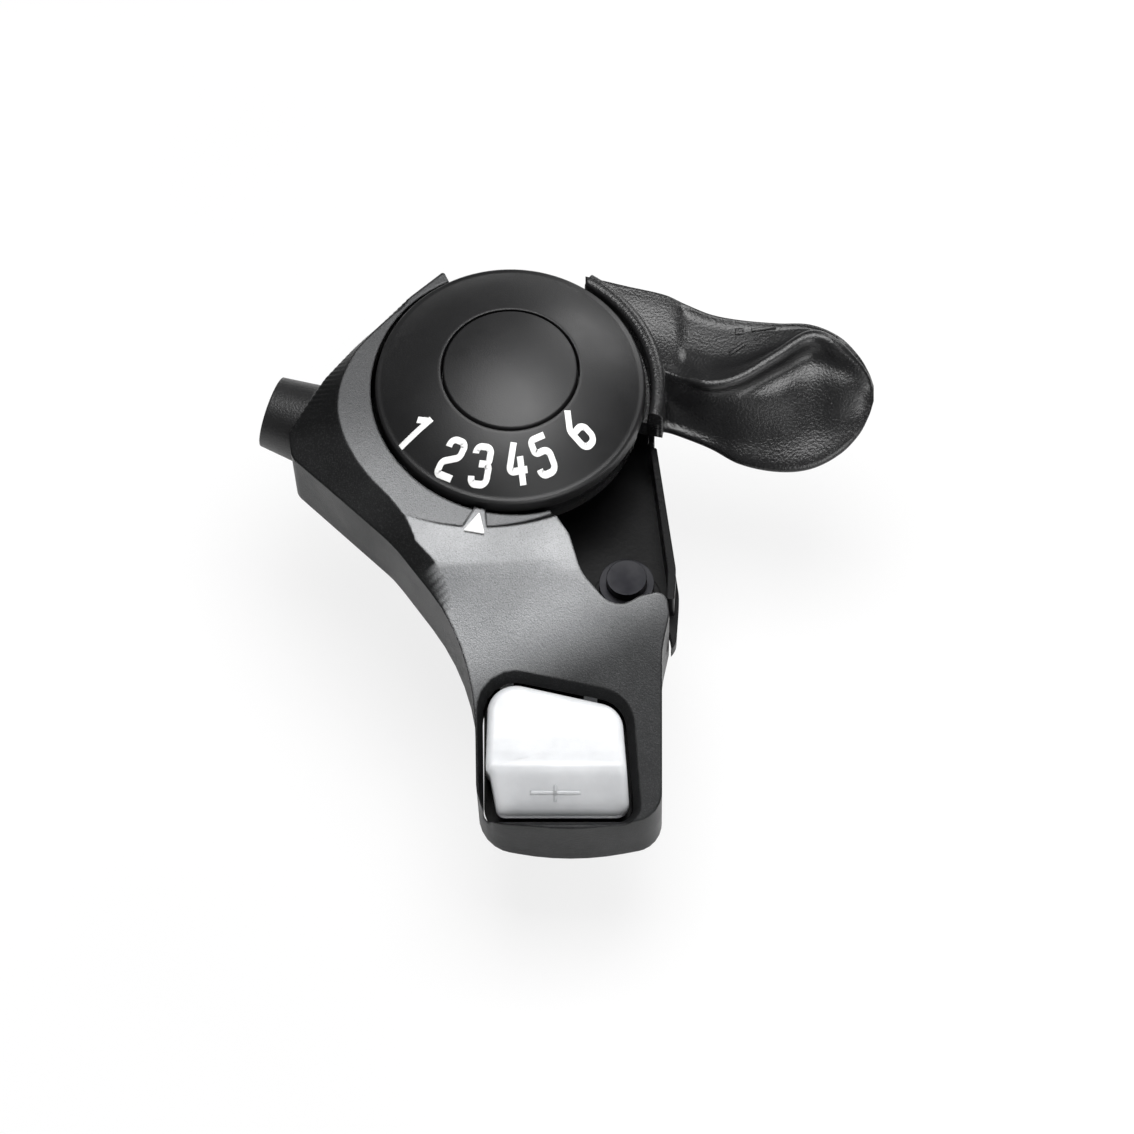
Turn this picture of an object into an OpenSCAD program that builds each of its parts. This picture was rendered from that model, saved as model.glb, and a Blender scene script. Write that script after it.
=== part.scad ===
/* [Handlebar clamp] */
// Diameter of the handlebar that the clamp takes
bar_d = 22.2; // [20:0.1:24]
// Width of the saddle and the strap along the bar
clamp_w = 10; // [8:0.2:12]
// Thickness of the steel strap
strap_t = 1.6; // [1:0.1:2]
// Thickness of the saddle wall above the bar
saddle_t = 2.4; // [1.8:0.1:3]
// Radius of the clamp bolt's shank
bolt_r = 2.4; // [2:0.1:2.5]

/* [Dial] */
// Diameter of the domed dial
dial_d = 32.4; // [28:0.2:33]
// Height of the dome above its upper edge
dome_h = 5.2; // [2:0.1:6]
// Wall of the dial
dial_wall = 1.5; // [1:0.1:2.2]
// Diameter of the round cap in the middle of the dial
cap_d = 16.2; // [12:0.2:18]
// Gap round the dial
dial_gap = 0.5; // [0.4:0.05:1.2]

/* [Top cover] */
// Height of the flat top above the bar's centre
rim_z = 24.5; // [23.5:0.1:27]
// Height of the side wall
skirt_h = 11; // [10.6:0.1:12]
// Thickness of the side wall
cover_wall = 1.8; // [1.4:0.1:2.2]
// Thickness of the roof
roof_t = 2; // [1.5:0.1:2.4]
// Slope of the arm that carries the button, in degrees
arm_tilt = 20; // [14:1:24]
// Height of the wall at the arm's end
end_h = 8.5; // [7.5:0.1:10]
// Width of the arm
arm_w = 22.6; // [22:0.1:26]
// How far the shoulder falls from the flat top to the outer edge
shoulder_drop = 2; // [1:0.1:3]

/* [Indexing] */
// Number of gears
gears = 6; // [3:1:6]
// Gear that shows at the pointer
gear_now = 3; // [1:1:6]
// Turn of the spool from gear to gear, in degrees
click = 21; // [18:1:22]
// Radius at which the cable lies on the spool
cable_r = 8.7; // [8:0.1:9]
// Outer radius of the ratchet wheel
ratchet_r = 12.2; // [11.8:0.1:12.4]
// Depth of a ratchet tooth
tooth_h = 1; // [0.7:0.05:1.2]

/* [Thumb lever] */
// Reach of the thumb lever from the dial's axis to its tip
lever_reach = 43.5; // [38:0.1:52]
// Radius of the lever's round hub plate
hub_r = 15.6; // [15:0.1:15.8]

/* [Release button] */
// Width of the button
button_w = 17.2; // [14:0.1:17.4]
// Height of the ridge above the arm's face
ridge_h = 2.6; // [1.5:0.1:4]
// Travel of the button, in degrees
button_turn = 7; // [4:0.5:8]

/* [Barrel adjuster] */
// Radius of the barrel at the body
barrel_r = 4.9; // [4:0.1:5.2]
// Length of the barrel outside the body
barrel_len = 4.8; // [4:0.1:9]
// Direction of the cable, in degrees forward of the bar
cable_angle = 21; // [16:1:26]

/* [Hidden] */
$fn = 48;

// Clearances: running fits, parts that sit beside each other, and parts that pass by
run_gap = 0.05;
seat_gap = 0.2;
pass_gap = 0.35;

bar_r = bar_d / 2;
dial_r = dial_d / 2;
well_r = dial_r + dial_gap;
cap_r = cap_d / 2;

// The dial's axis, seen from the centre of the clamp
axis_x = -12.3;
axis_y = 8.5;

// Heights, from the bar's centre up
floor_z = rim_z - skirt_h;
floor_t = floor_z - bar_r - (saddle_t - 1.8);
cable_z = rim_z - 8.5;
washer_t = 0.4;
spool_z = floor_z + washer_t + run_gap;
groove_w = 1.6;
cable_wire_r = 0.6;
spool_top = cable_z + groove_w / 2 + 0.8;
ratchet_z = spool_top + 0.1;
ratchet_t = 1.2;
hub_z = ratchet_z + ratchet_t + 0.4;
hub_plate_t = 1.7;
hub_top = hub_z + hub_plate_t + 1.9;
dial_z = hub_top + 0.4;
dome_z = rim_z + 0.8;
tube_r = 5;
axle_r = 3;

// The arm turns down at this distance behind the dial's axis
bend_y = 20;
bend_r = 30;
arm_left = -4.5;
arm_right = arm_left + arm_w;
arm_end = 54.1;
under_tilt = atan(((arm_end - bend_y) * tan(arm_tilt) + end_h - skirt_h) / (arm_end - bend_y));

// Where the pieces of the ratchet stand round the axis
feed_angle = 50;
hold_angle = feed_angle - 7 * click;
pawl_pin_angle = 20;
pawl_pin_r = 14.4;
pawl_lift = 0.35;
pawl_turn = 10;

// The button's pivot in the arm's own frame, and its outline there
pivot_y = -14.6;
pivot_z = -5.4;
button_left = -2.9;
button_right = button_left + button_w;
button_top = -17.2;
button_end = -33.7;
ridge_y = -28.3;

// The clamp bolt stands behind the bar
bolt_x = 1.6;
bolt_head_r = bolt_r + 1.3;
bolt_head_h = 5;
bolt_y = -(bar_r + bolt_head_r + 0.2);
boss_r = 4.2;
boss_top = floor_z + 1.5;
flange_z = -4.4;
jaw_gap = 1.2;
nut_r = bolt_r + 0.9;
nut_h = 4;

function unit(v) = v / norm(v);
function lerp(a, b, t) = a + (b - a) * t;

// A closed outline through corners [x, y, radius], each corner rounded by an arc
function rounded(corners, steps = 6) = [
    for (i = [0:len(corners) - 1])
        let (
            n = len(corners),
            p = [corners[i].x, corners[i].y],
            a = corners[(i + n - 1) % n],
            b = corners[(i + 1) % n],
            u = unit([a.x, a.y] - p),
            v = unit([b.x, b.y] - p),
            half = acos(max(-1, min(1, u * v))) / 2,
            r = corners[i].z,
            reach = r / tan(half),
            centre = p + unit(u + v) * (r / sin(half)),
            from = p + u * reach - centre,
            to = p + v * reach - centre
        )
        if (r == 0) p
        else for (k = [0:steps])
            let (w = unit(lerp(from, to, k / steps))) centre + w * r
];

// A smooth value through rows [x, value, value, ...] at a place x, for one column
function slope(rows, i, c) =
    let (a = max(0, i - 1), b = min(len(rows) - 1, i + 1))
    (rows[b][c] - rows[a][c]) / (rows[b][0] - rows[a][0]);
function station(rows, x, i = 0) =
    i >= len(rows) - 2 || x < rows[i + 1][0] ? i : station(rows, x, i + 1);
function along(rows, x, c) =
    let (
        i = station(rows, x),
        w = rows[i + 1][0] - rows[i][0],
        t = (x - rows[i][0]) / w,
        t2 = t * t,
        t3 = t2 * t
    )
    (2 * t3 - 3 * t2 + 1) * rows[i][c] + (t3 - 2 * t2 + t) * w * slope(rows, i, c)
    + (3 * t2 - 2 * t3) * rows[i + 1][c] + (t3 - t2) * w * slope(rows, i + 1, c);

// A flat strip of even thickness along a path of points
function side_step(path, i) =
    let (
        a = path[max(0, i - 1)],
        b = path[min(len(path) - 1, i + 1)],
        d = unit(b - a)
    ) [-d.y, d.x];
function ribbon(path, t) = concat(
    [for (i = [0:len(path) - 1]) path[i] + side_step(path, i) * t / 2],
    [for (i = [len(path) - 1:-1:0]) path[i] - side_step(path, i) * t / 2]
);

// A closed skin over rings of equally many points, first ring to last
module skin(rings) {
    n = len(rings[0]);
    last = len(rings) - 1;
    walls = [
        for (i = [0:last - 1], k = [0:n - 1])
            let (a = i * n + k, b = i * n + (k + 1) % n, c = a + n, d = b + n)
            each [[a, c, b], [b, c, d]]
    ];
    ends = [[for (k = [0:n - 1]) k], [for (k = [n - 1:-1:0]) last * n + k]];
    polyhedron(points = [for (r = rings) each r], faces = concat(walls, ends), convexity = 6);
}

// A coil spring of round wire that stands on z = 0, with a straight leg at each end
module coil(r, wire, turns, pitch, leg = 0) {
    steps = 18;
    sides = 8;
    count = ceil(turns * steps);
    centres = concat(
        leg > 0 ? [[r, -leg, wire / 2]] : [],
        [for (i = [0:count])
            let (a = 360 * turns * i / count)
            [r * cos(a), r * sin(a), wire / 2 + pitch * a / 360]],
        leg > 0
            ? [let (a = 360 * turns)
                [r * cos(a), r * sin(a), wire / 2 + pitch * turns] + leg * [-sin(a), cos(a), 0]]
            : []
    );
    last = len(centres) - 1;
    skin([
        for (i = [0:last])
            let (
                d = unit(centres[min(last, i + 1)] - centres[max(0, i - 1)]),
                side = unit(cross(d, [0, 0, 1])),
                up = cross(side, d)
            )
            [for (k = [0:sides - 1])
                centres[i] + wire / 2 * (cos(-360 * k / sides) * side + sin(-360 * k / sides) * up)]
    ]);
}

module tube(r_out, r_in, h) {
    difference() {
        cylinder(r = r_out, h = h);
        translate([0, 0, -1]) cylinder(r = r_in, h = h + 2);
    }
}

module at_axis(z = 0) {
    translate([axis_x, axis_y, z]) children();
}

// The arm's own frame: its face is z = 0, and y runs back to the bend
module at_arm() {
    at_axis(rim_z) translate([0, -bend_y, 0]) rotate([arm_tilt, 0, 0]) children();
}

// The barrel's own frame: z runs out along the cable, from the point nearest the dial's axis
module at_cable() {
    at_axis(cable_z) rotate([0, 0, 180 - cable_angle]) translate([0, cable_r, 0]) rotate([0, 90, 0])
        children();
}

// The frame of the arm's underside: its lower edge is z = 0
module at_under() {
    at_axis(rim_z - skirt_h) translate([0, -bend_y, 0]) rotate([under_tilt, 0, 0]) children();
}

// Solid with a side outline of [y, z] points, extruded across the object
module across(points, x_from = -40, x_to = 40) {
    translate([x_from, 0, 0]) rotate([90, 0, 90]) linear_extrude(x_to - x_from) polygon(points);
}

// The side line of the cover's top, lowered by a distance, from front to back
function top_line(drop, reach = 70) =
    let (
        r = bend_r - drop,
        c = [-(bend_y - bend_r * tan(arm_tilt / 2)), -bend_r],
        far = c + r * [-sin(arm_tilt), cos(arm_tilt)]
    )
    concat(
        [[30, -drop]],
        [for (k = [0:8]) c + r * [-sin(arm_tilt * k / 8), cos(arm_tilt * k / 8)]],
        [far - reach * [cos(arm_tilt), sin(arm_tilt)]]
    );

// Outline of the cover seen from above, anticlockwise from the tip of its wing
cover_corners = [
    [-8.1, 16.5, 0.3],
    [-17.7, 7.7, 22],
    [-22.4, 2.4, 3],
    [-26.8, -4.9, 1.2],
    [-26.4, -8.2, 2],
    [-14.3, -20.3, 30],
    [-4.9, -32.5, 26],
    [arm_left, -43, 26],
    [arm_left, 1.6 - arm_end, 4.5],
    [(arm_left + arm_right) / 2, -0.5 - arm_end, 36],
    [arm_right, 1.6 - arm_end, 3.5],
    [arm_right, -33, 12],
    [19, -29, 1],
    [18.6, -26.2, 1.4],
    [15.4, -26.9, 1.5],
    [12.4, -28.6, 3],
    [8.4, -24.2, 6],
    [7, -19.6, 3],
    [4.9, -16.4, 0.5],
    [2, -8, 0],
    [-6, 12, 0]
];

// Rows [share of the way, seam x, seam y, edge x, edge y] of the sloping shoulder
shoulder_rows = [
    [0, -11.6, 12.3, -12, 13],
    [1, -15.5, 8.8, -16.4, 9],
    [2, -18.8, 4.6, -20.4, 5],
    [3, -20.5, -0.6, -24, 0.4],
    [4, -20, -5.6, -26.6, -6],
    [5, -17.3, -11.1, -22.9, -12],
    [6, -12.4, -16.9, -17, -18.4],
    [7, -8.6, -22.8, -11.4, -24.6],
    [8, -6, -29, -7.6, -30.8]
];

module cover_plan(inset = 0) {
    offset(delta = -inset) polygon(rounded(cover_corners));
}

module cover_band() {
    far = [-75, -skirt_h - (75 - bend_y) * tan(under_tilt)];
    across(concat(top_line(0), [far, [-bend_y, -skirt_h], [30, -skirt_h]]));
}

// The wall leans in towards its lower edge, by this share over this height
draft = 0.96;
draft_h = 24;
draft_middle = [arm_right, -21];
function draft_at(z) = 1 - (1 - draft) * (rim_z + 2 - z) / draft_h;
module cover_block(inset = 0) {
    translate([draft_middle.x, draft_middle.y, rim_z + 2 - draft_h])
        linear_extrude(draft_h, scale = 1 / draft)
            scale(draft) translate(-draft_middle) cover_plan(inset);
}

// The plan inside the wall at one height
module inside_plan(z) {
    translate(draft_middle) scale(draft_at(z)) translate(-draft_middle)
        cover_plan(cover_wall + seat_gap);
}

// Takes the shoulder's wedge off the cover's outer edge
module shoulder_wedge() {
    steps = 64;
    last = len(shoulder_rows) - 1;
    fall = function (y) y > -bend_y ? 0 : (y + bend_y) * tan(arm_tilt);
    skin([
        for (i = [0:steps])
            let (
                t = last * i / steps,
                s = [along(shoulder_rows, t, 1), along(shoulder_rows, t, 2)],
                e = [along(shoulder_rows, t, 3), along(shoulder_rows, t, 4)],
                out = e + (e - s) * 0.6 + unit(e - s) * 2,
                grip = min(1, t, (last - t) / 2),
                low = fall(out.y) - shoulder_drop * grip * norm(out - s) / norm(e - s)
            )
            [
                [s.x, s.y, fall(s.y) + 0.02],
                [s.x, s.y, fall(s.y) + 8],
                [out.x, out.y, fall(out.y) + 8],
                [out.x, out.y, low]
            ]
    ]);
}

// The button's opening through the arm's face, flared to a lip
pocket_corners = [
    [button_left - 0.4, button_top + 0.6, 4],
    [button_right - 0.7, button_top - 2.9, 3.6],
    [button_right + 0.6, button_end - 0.6, 1.8],
    [button_left - 0.2, button_end - 0.6, 1.2]
];
lip_corners = [
    [button_left - 1.5, button_top + 2.4, 4.6],
    [button_right + 0.6, button_top - 1.6, 5],
    [button_right + 1.8, button_end - 1.5, 2.6],
    [button_left - 0.9, button_end - 1.5, 2.2]
];

module pocket() {
    skin([
        [for (p = rounded(lip_corners)) [p.x, p.y, 0.7]],
        [for (p = rounded(pocket_corners)) [p.x, p.y, -1.7]],
        [for (p = rounded(pocket_corners)) [p.x, p.y, -14]]
    ]);
}

// The shallow scoop in front of the dial, deepest on the right
module crescent() {
    rotate([0, 3.4, 0]) translate([-4.6 + rim_z * sin(3.4) * -1, 5, rim_z * cos(3.4) - 0.85])
        cylinder(r1 = 23.5, r2 = 27, h = 4, $fn = 96);
}

// The pointer's wedge, between the scoop and the flat top
pointer_angle = -102.5;
module pointer_wedge() {
    rotate([0, 0, pointer_angle]) translate([well_r - 0.1, 0, rim_z - 2.6])
        linear_extrude(2.6) polygon([[0, -0.6], [0, 0.6], [4, 1.9], [4, -1.9]]);
}

screw_spots = [[-18.4, -9.6], [-9, -21]];
module screw_boss(spot) {
    translate([spot.x, spot.y, floor_z]) tube(2.2, 0.9, skirt_h - roof_t + 0.5);
}

module top_cover() {
    color("dimgray") at_axis() {
        difference() {
            union() {
                difference() {
                    intersection() {
                        cover_block();
                        translate([0, 0, rim_z]) cover_band();
                    }
                    intersection() {
                        cover_block(cover_wall);
                        translate([0, 0, rim_z])
                            across(concat(top_line(roof_t), [[-75, -60], [30, -60]]), -30, 30);
                    }
                }
                // The boss that takes the barrel's thread, inside the left end
                intersection() {
                    translate([0, 0, floor_z]) linear_extrude(skirt_h - roof_t) cover_plan(0.5);
                    translate([-axis_x, -axis_y, 0]) at_cable() translate([0, 0, 16])
                        cylinder(r = 4.6, h = 7);
                }
                for (spot = screw_spots) screw_boss(spot);
                translate([-axis_x, -axis_y, 0]) at_under() for (spot = lower_spots)
                    translate([spot.x, spot.y, 1.55]) tube(2.1, 0.9, 7);
            }
            translate([0, 0, rim_z]) shoulder_wedge();
            // The round well that the dial and the mechanism stand in
            translate([0, 0, floor_z - 8]) cylinder(r = well_r, h = 30);
            difference() {
                crescent();
                pointer_wedge();
            }
            translate([-axis_x, -axis_y, 0]) {
                at_arm() pocket();
                at_cable() cylinder(r = 2.5, h = 40);
                at_cable() translate([0, 0, barrel_start - 2.3]) cylinder(r = 3.6, h = 9);
                at_cable() translate([0, 0, barrel_start - 0.1]) cylinder(r = barrel_r + 0.3, h = 9);
            }
        }
    }
}

function in_front(y_low, y_high) = [[-40, y_low], [40, y_low], [40, y_high], [-40, y_high]];

// Plate of the bracket: under the cover, under the lever and out to the clamp
module floor_plan() {
    wing = rounded([
        [17.4, -2, 1], [4, 8, 2], [-6, -10, 2], [2, -20, 1], [6, -30.5, 1],
        [18, -30.6, 1.5], [19.8, -29, 2.5], [20.2, -22.4, 8]
    ]);
    intersection() {
        inside_plan(floor_z - floor_t);
        polygon(in_front(-24.5, 30));
    }
    circle(r = well_r - 0.1);
    difference() {
        polygon(wing);
        intersection() {
            offset(delta = 0.3) cover_plan();
            polygon(in_front(-60, -19));
        }
    }
}

// The boss for the bolt, with its web to the saddle, cut back where the cover passes
module bolt_boss() {
    low = flange_z + jaw_gap;
    difference() {
        union() {
            translate([bolt_x, bolt_y, low]) cylinder(r = boss_r, h = boss_top - low);
            translate([bolt_x - boss_r, bolt_y, low])
                cube([clamp_w / 2 - bolt_x + boss_r, 6, boss_top - low - 1.5]);
        }
        at_axis(floor_z - 6) linear_extrude(12) offset(delta = 0.3) cover_plan();
    }
}

module base_bracket() {
    color("black") difference() {
        union() {
            at_axis(floor_z - floor_t) linear_extrude(floor_t) floor_plan();
            // The side wall beside the thumb lever
            at_axis(floor_z - 0.5) linear_extrude(4.8)
                polygon(rounded([[16.8, -4.5, 0.3], [17.5, -4.2, 0.3], [19.8, -21, 6],
                                 [19.6, -25, 0.3], [18.7, -25, 0.3], [18.8, -21, 6]]));
            // The saddle
            intersection() {
                rotate([0, 90, 0]) translate([0, 0, -clamp_w / 2])
                    cylinder(r = bar_r + saddle_t, h = clamp_w);
                translate([-clamp_w, -20, 1]) cube([2 * clamp_w, 40, floor_z - 1.4]);
            }
            bolt_boss();
            // The lug that the strap hooks into
            translate([-clamp_w / 2, bar_r - 1, -3]) cube([clamp_w, 6.8, floor_z - floor_t + 3.5]);
        }
        rotate([0, 90, 0]) translate([0, 0, -60]) cylinder(r = bar_r, h = 120);
        translate([-30, -40, -30]) cube([60, 40 + bar_r - 2, 30 + flange_z + jaw_gap]);
        translate([bolt_x, bolt_y, -20]) cylinder(r = bolt_r + 0.2, h = 60);
        // The slot for the hook
        translate([-clamp_w / 2 - 1, bar_r - 2, -0.2]) cube([clamp_w + 2, 5.9, strap_t + 0.4]);
        translate([-clamp_w / 2 - 1, bar_r - 2, -4]) cube([clamp_w + 2, 2 + strap_t + 0.5, 5]);
        at_axis() {
            translate([0, 0, -1]) cylinder(r = axle_r, h = 30);
            for (spot = screw_spots) translate([spot.x, spot.y, 0]) cylinder(r = 1.1, h = 30);
        }
    }
}

module clamp_strap() {
    hook = [bar_r, bar_r + 3.6];
    color("dimgray") difference() {
        union() {
            rotate([0, 90, 0]) translate([0, 0, -clamp_w / 2])
                tube(bar_r + strap_t, bar_r, clamp_w);
            translate([-clamp_w / 2, hook[0], 0]) cube([clamp_w, hook[1] - hook[0], strap_t]);
            translate([-clamp_w / 2, bolt_y - boss_r, flange_z - strap_t])
                cube([clamp_w, -bar_r + 1.5 - bolt_y + boss_r, strap_t]);
        }
        translate([-30, -40, flange_z]) cube([60, 41, 30]);
        translate([-30, 0, strap_t]) cube([60, 40, 30]);
        rotate([0, 90, 0]) translate([0, 0, -60]) cylinder(r = bar_r, h = 120);
        translate([bolt_x, bolt_y, -20]) cylinder(r = bolt_r + 0.2, h = 60);
    }
}

module clamp_bolt() {
    head_z = flange_z - strap_t - bolt_head_h;
    color("black") translate([bolt_x, bolt_y, 0]) difference() {
        union() {
            translate([0, 0, head_z + 1]) cylinder(r = bolt_r, h = boss_top + nut_h + 1.4 - head_z - 1);
            translate([0, 0, head_z]) cylinder(r = bolt_head_r, h = bolt_head_h);
        }
        translate([0, 0, head_z - 1]) cylinder(r = 2.2, h = 3.8, $fn = 6);
    }
}

module clamp_nut() {
    color("black") translate([bolt_x, bolt_y, boss_top]) difference() {
        cylinder(r = nut_r, h = nut_h);
        translate([0, 0, -1]) cylinder(r = bolt_r, h = nut_h + 2);
    }
}

lower_spots = [[-3.9, -9], [14.5, -14.9]];
lug_x = [0.75, 10.75];
lug_w = 1.4;
module lower_cover() {
    color("black") difference() {
        union() {
            intersection() {
                at_under() translate([-30, -45, 0]) cube([60, 39.8, 1.5]);
                at_axis() linear_extrude(30) inside_plan(floor_z - 9);
                at_axis() linear_extrude(30) inside_plan(floor_z);
            }
            // Lugs that hold the button's pin
            at_arm() for (x = lug_x) {
                translate([x, pivot_y - 1.8, pivot_z - 3.2]) cube([lug_w, 2.8, 3.2]);
                translate([x, pivot_y, pivot_z]) rotate([0, 90, 0]) cylinder(r = 1.8, h = lug_w);
            }
            at_under() translate([6.5, -23.6, 1.5]) cylinder(r = 1.4, h = 1);
        }
        at_arm() translate([-10, pivot_y, pivot_z]) rotate([0, 90, 0]) cylinder(r = 1, h = 40);
        at_under() for (spot = lower_spots) translate([spot.x, spot.y, -20]) cylinder(r = 1.1, h = 30);
    }
}

module small_screw(length) {
    translate([0, 0, -1.2]) difference() {
        cylinder(r = 1.9, h = 1.2);
        translate([-1.3, -0.25, -0.1]) cube([2.6, 0.5, 0.7]);
        translate([-0.25, -1.3, -0.1]) cube([0.5, 2.6, 0.7]);
    }
    cylinder(r = 0.9, h = length);
}

module cover_screws() {
    color("silver") at_axis(floor_z - floor_t) for (spot = screw_spots)
        translate([spot.x, spot.y, 0]) small_screw(7);
}

module lower_screws() {
    color("silver") at_under() for (spot = lower_spots)
        translate([spot.x, spot.y, 0]) small_screw(6);
}

module pivot_axle() {
    color("silver") at_axis() difference() {
        union() {
            translate([0, 0, floor_z - floor_t])
                cylinder(r = axle_r, h = dial_z + 2.25 - floor_z + floor_t);
            translate([0, 0, floor_z - floor_t - 0.9]) cylinder(r = axle_r + 0.9, h = 0.9);
        }
        translate([0, 0, dial_z - 6]) cylinder(r = 1.6, h = 20);
    }
}

module thrust_washer() {
    color("silver") at_axis(floor_z) tube(6.2, axle_r + run_gap, washer_t);
}

spring_r = 5.6;
module cable_spool() {
    color("gainsboro") at_axis() difference() {
        union() {
            translate([0, 0, spool_z]) cylinder(r = cable_r + 1.5, h = cable_z - groove_w / 2 - spool_z);
            translate([0, 0, spool_z]) cylinder(r = cable_r - cable_wire_r, h = spool_top - spool_z);
            translate([0, 0, cable_z + groove_w / 2])
                cylinder(r = cable_r + 1.5, h = spool_top - cable_z - groove_w / 2);
            translate([0, 0, spool_z]) cylinder(r = tube_r, h = hub_top + 0.2 - spool_z);
            intersection() {
                translate([0, 0, spool_z]) cylinder(r = tube_r, h = dial_z + 0.9 - spool_z);
                translate([-tube_r, -3.8, spool_z]) cube([2 * tube_r, 7.6, 20]);
            }
            // Keys that drive the ratchet wheel
            for (a = [0, 180]) rotate([0, 0, a + 45]) translate([0, -1, spool_z])
                cube([tube_r + 1, 2, ratchet_z + ratchet_t - spool_z]);
        }
        translate([0, 0, spool_z - 1]) cylinder(r = axle_r + run_gap, h = 30);
        // Room for the return spring
        translate([0, 0, spool_z - 1]) tube(spring_r + 0.8, spring_r - 0.8, 3.1);
        // Pocket for the cable's head, open on the rim
        rotate([0, 0, 100]) translate([cable_r + 0.4, 0, cable_z - 1.6]) cylinder(r = 1.9, h = 6);
    }
}

module spool_spring() {
    color("silver") at_axis(spool_z + 0.1) rotate([0, 0, 60]) coil(spring_r, 0.5, 2.5, 0.55);
}

// Saw teeth cut in the ratchet wheel: a steep flank on the clockwise side
module tooth_gap(angle) {
    half = click / 2;
    root = ratchet_r - tooth_h;
    rotate([0, 0, angle]) linear_extrude(10) polygon([
        root * [cos(-4), sin(-4)],
        (ratchet_r + 1) * [cos(-5), sin(-5)],
        (ratchet_r + 1) * [cos(half + 3), sin(half + 3)],
        root * [cos(4), sin(4)]
    ]);
}

module ratchet_wheel() {
    color("silver") at_axis(ratchet_z) difference() {
        cylinder(r = ratchet_r, h = ratchet_t);
        translate([0, 0, -1]) cylinder(r = tube_r + run_gap, h = 5);
        for (a = [0, 180]) rotate([0, 0, a + 45]) translate([0, -1.05, -1])
            cube([tube_r + 1.1, 2.1, 5]);
        // Notches that hold each gear, and teeth that the feed pawl pushes
        for (g = [1:gears]) translate([0, 0, -1]) mirror([0, 1, 0])
            tooth_gap(-hold_angle - (g - gear_now) * click);
        for (k = [-1:gears - gear_now]) translate([0, 0, -1]) mirror([0, 1, 0])
            tooth_gap(-feed_angle - k * click);
    }
}

// The leaf: from its post, along the wheel, into a notch, and out to its tail
index_path = [
    [-14.4, -9.6], [-12.4, -11.6], [-9, -13.4], [-5.6, -14],
    (ratchet_r + 0.5) * [cos(hold_angle - 11), sin(hold_angle - 11)],
    (ratchet_r - tooth_h + 0.45) * [cos(hold_angle), sin(hold_angle)],
    (ratchet_r + 0.9) * [cos(hold_angle + 5), sin(hold_angle + 5)],
    [0.9, -14.6], [3.6, -14.8]
];
tab_low = -9;

module index_spring() {
    color("silver") at_axis() {
        translate([0, 0, ratchet_z]) linear_extrude(ratchet_t) polygon(ribbon(index_path, 0.5));
        // The tab that the button's finger pushes outwards
        translate([0, 0, rim_z + tab_low]) linear_extrude(ratchet_z + ratchet_t - rim_z - tab_low)
            polygon(ribbon([[1.3, -14.63], [3.6, -14.8]], 0.5));
    }
}

// The post that grips the leaf's end, standing on the bracket's plate
module index_post() {
    color("silver") at_axis(floor_z) difference() {
        translate([-14.6, -9.4, 0]) cylinder(r = 1.5, h = ratchet_z + ratchet_t - floor_z);
        translate([0, 0, ratchet_z - floor_z - 0.1]) linear_extrude(5)
            polygon(ribbon(index_path, 0.62));
    }
}

// Rows of the thumb pad's section, x from the axis: the upper back edge, the crest of the
// thumb rest, the hollow below it, the brow of the push face, its lower edge and the bottom
lever_rows = [
    [9, 16.2, -0.9, 6, -1.2, 5, -2.6, 4, -5, 2, -8.4],
    [14, 15, -1.2, 4.6, -1.4, 3.6, -2.8, 2.4, -5, -1.2, -8.4],
    [18.6, 13.9, -1.4, 3.3, -1.4, 2.3, -2.8, 1.2, -5, -1.6, -8.5],
    [21, 12.8, -1.7, 2.2, -1.3, 1.2, -2.7, 0.4, -5, -2.4, -8.6],
    [24, 11.4, -1.7, 1.2, -1.1, 0.4, -2.5, -0.5, -4.8, -3.7, -8.8],
    [27.4, 10.5, -1.5, 1.7, -0.6, 0.7, -2, -0.3, -3.6, -5.6, -9],
    [32, 9.8, -1.2, 4.2, 0.2, 2.9, -1.6, 0.6, -3, -6.6, -9.1],
    [36, 9.3, -0.8, 6.5, 0.6, 4.8, -1.2, 2.2, -2.6, -6.3, -8.9],
    [39.5, 7.5, -0.7, 5.3, 0.3, 3.6, -1.1, 1.6, -2.3, -4.8, -8],
    [41.8, 5.2, -1.4, 3.8, -0.8, 2.6, -1.7, 1, -2.8, -2.8, -6.6],
    [43, 3.4, -2.4, 2.6, -2, 1.9, -2.4, 1.1, -3.2, -0.8, -5.2],
    [43.5, 2.2, -3.2, 1.9, -3.1, 1.6, -3.2, 1.3, -3.5, 0.6, -4.2]
];
lever_scale = lever_reach / 43.5;

// A smooth closed curve through points, with a number of steps from each to the next
function loop_curve(p, steps) = [
    for (i = [0:len(p) - 1], k = [0:steps - 1])
        let (
            n = len(p),
            a = p[(i + n - 1) % n],
            b = p[i],
            c = p[(i + 1) % n],
            d = p[(i + 2) % n],
            t = k / steps
        )
        b + 0.5 * t * (c - a + t * (2 * a - 5 * b + 4 * c - d + t * (3 * (b - c) + d - a)))
];

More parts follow.
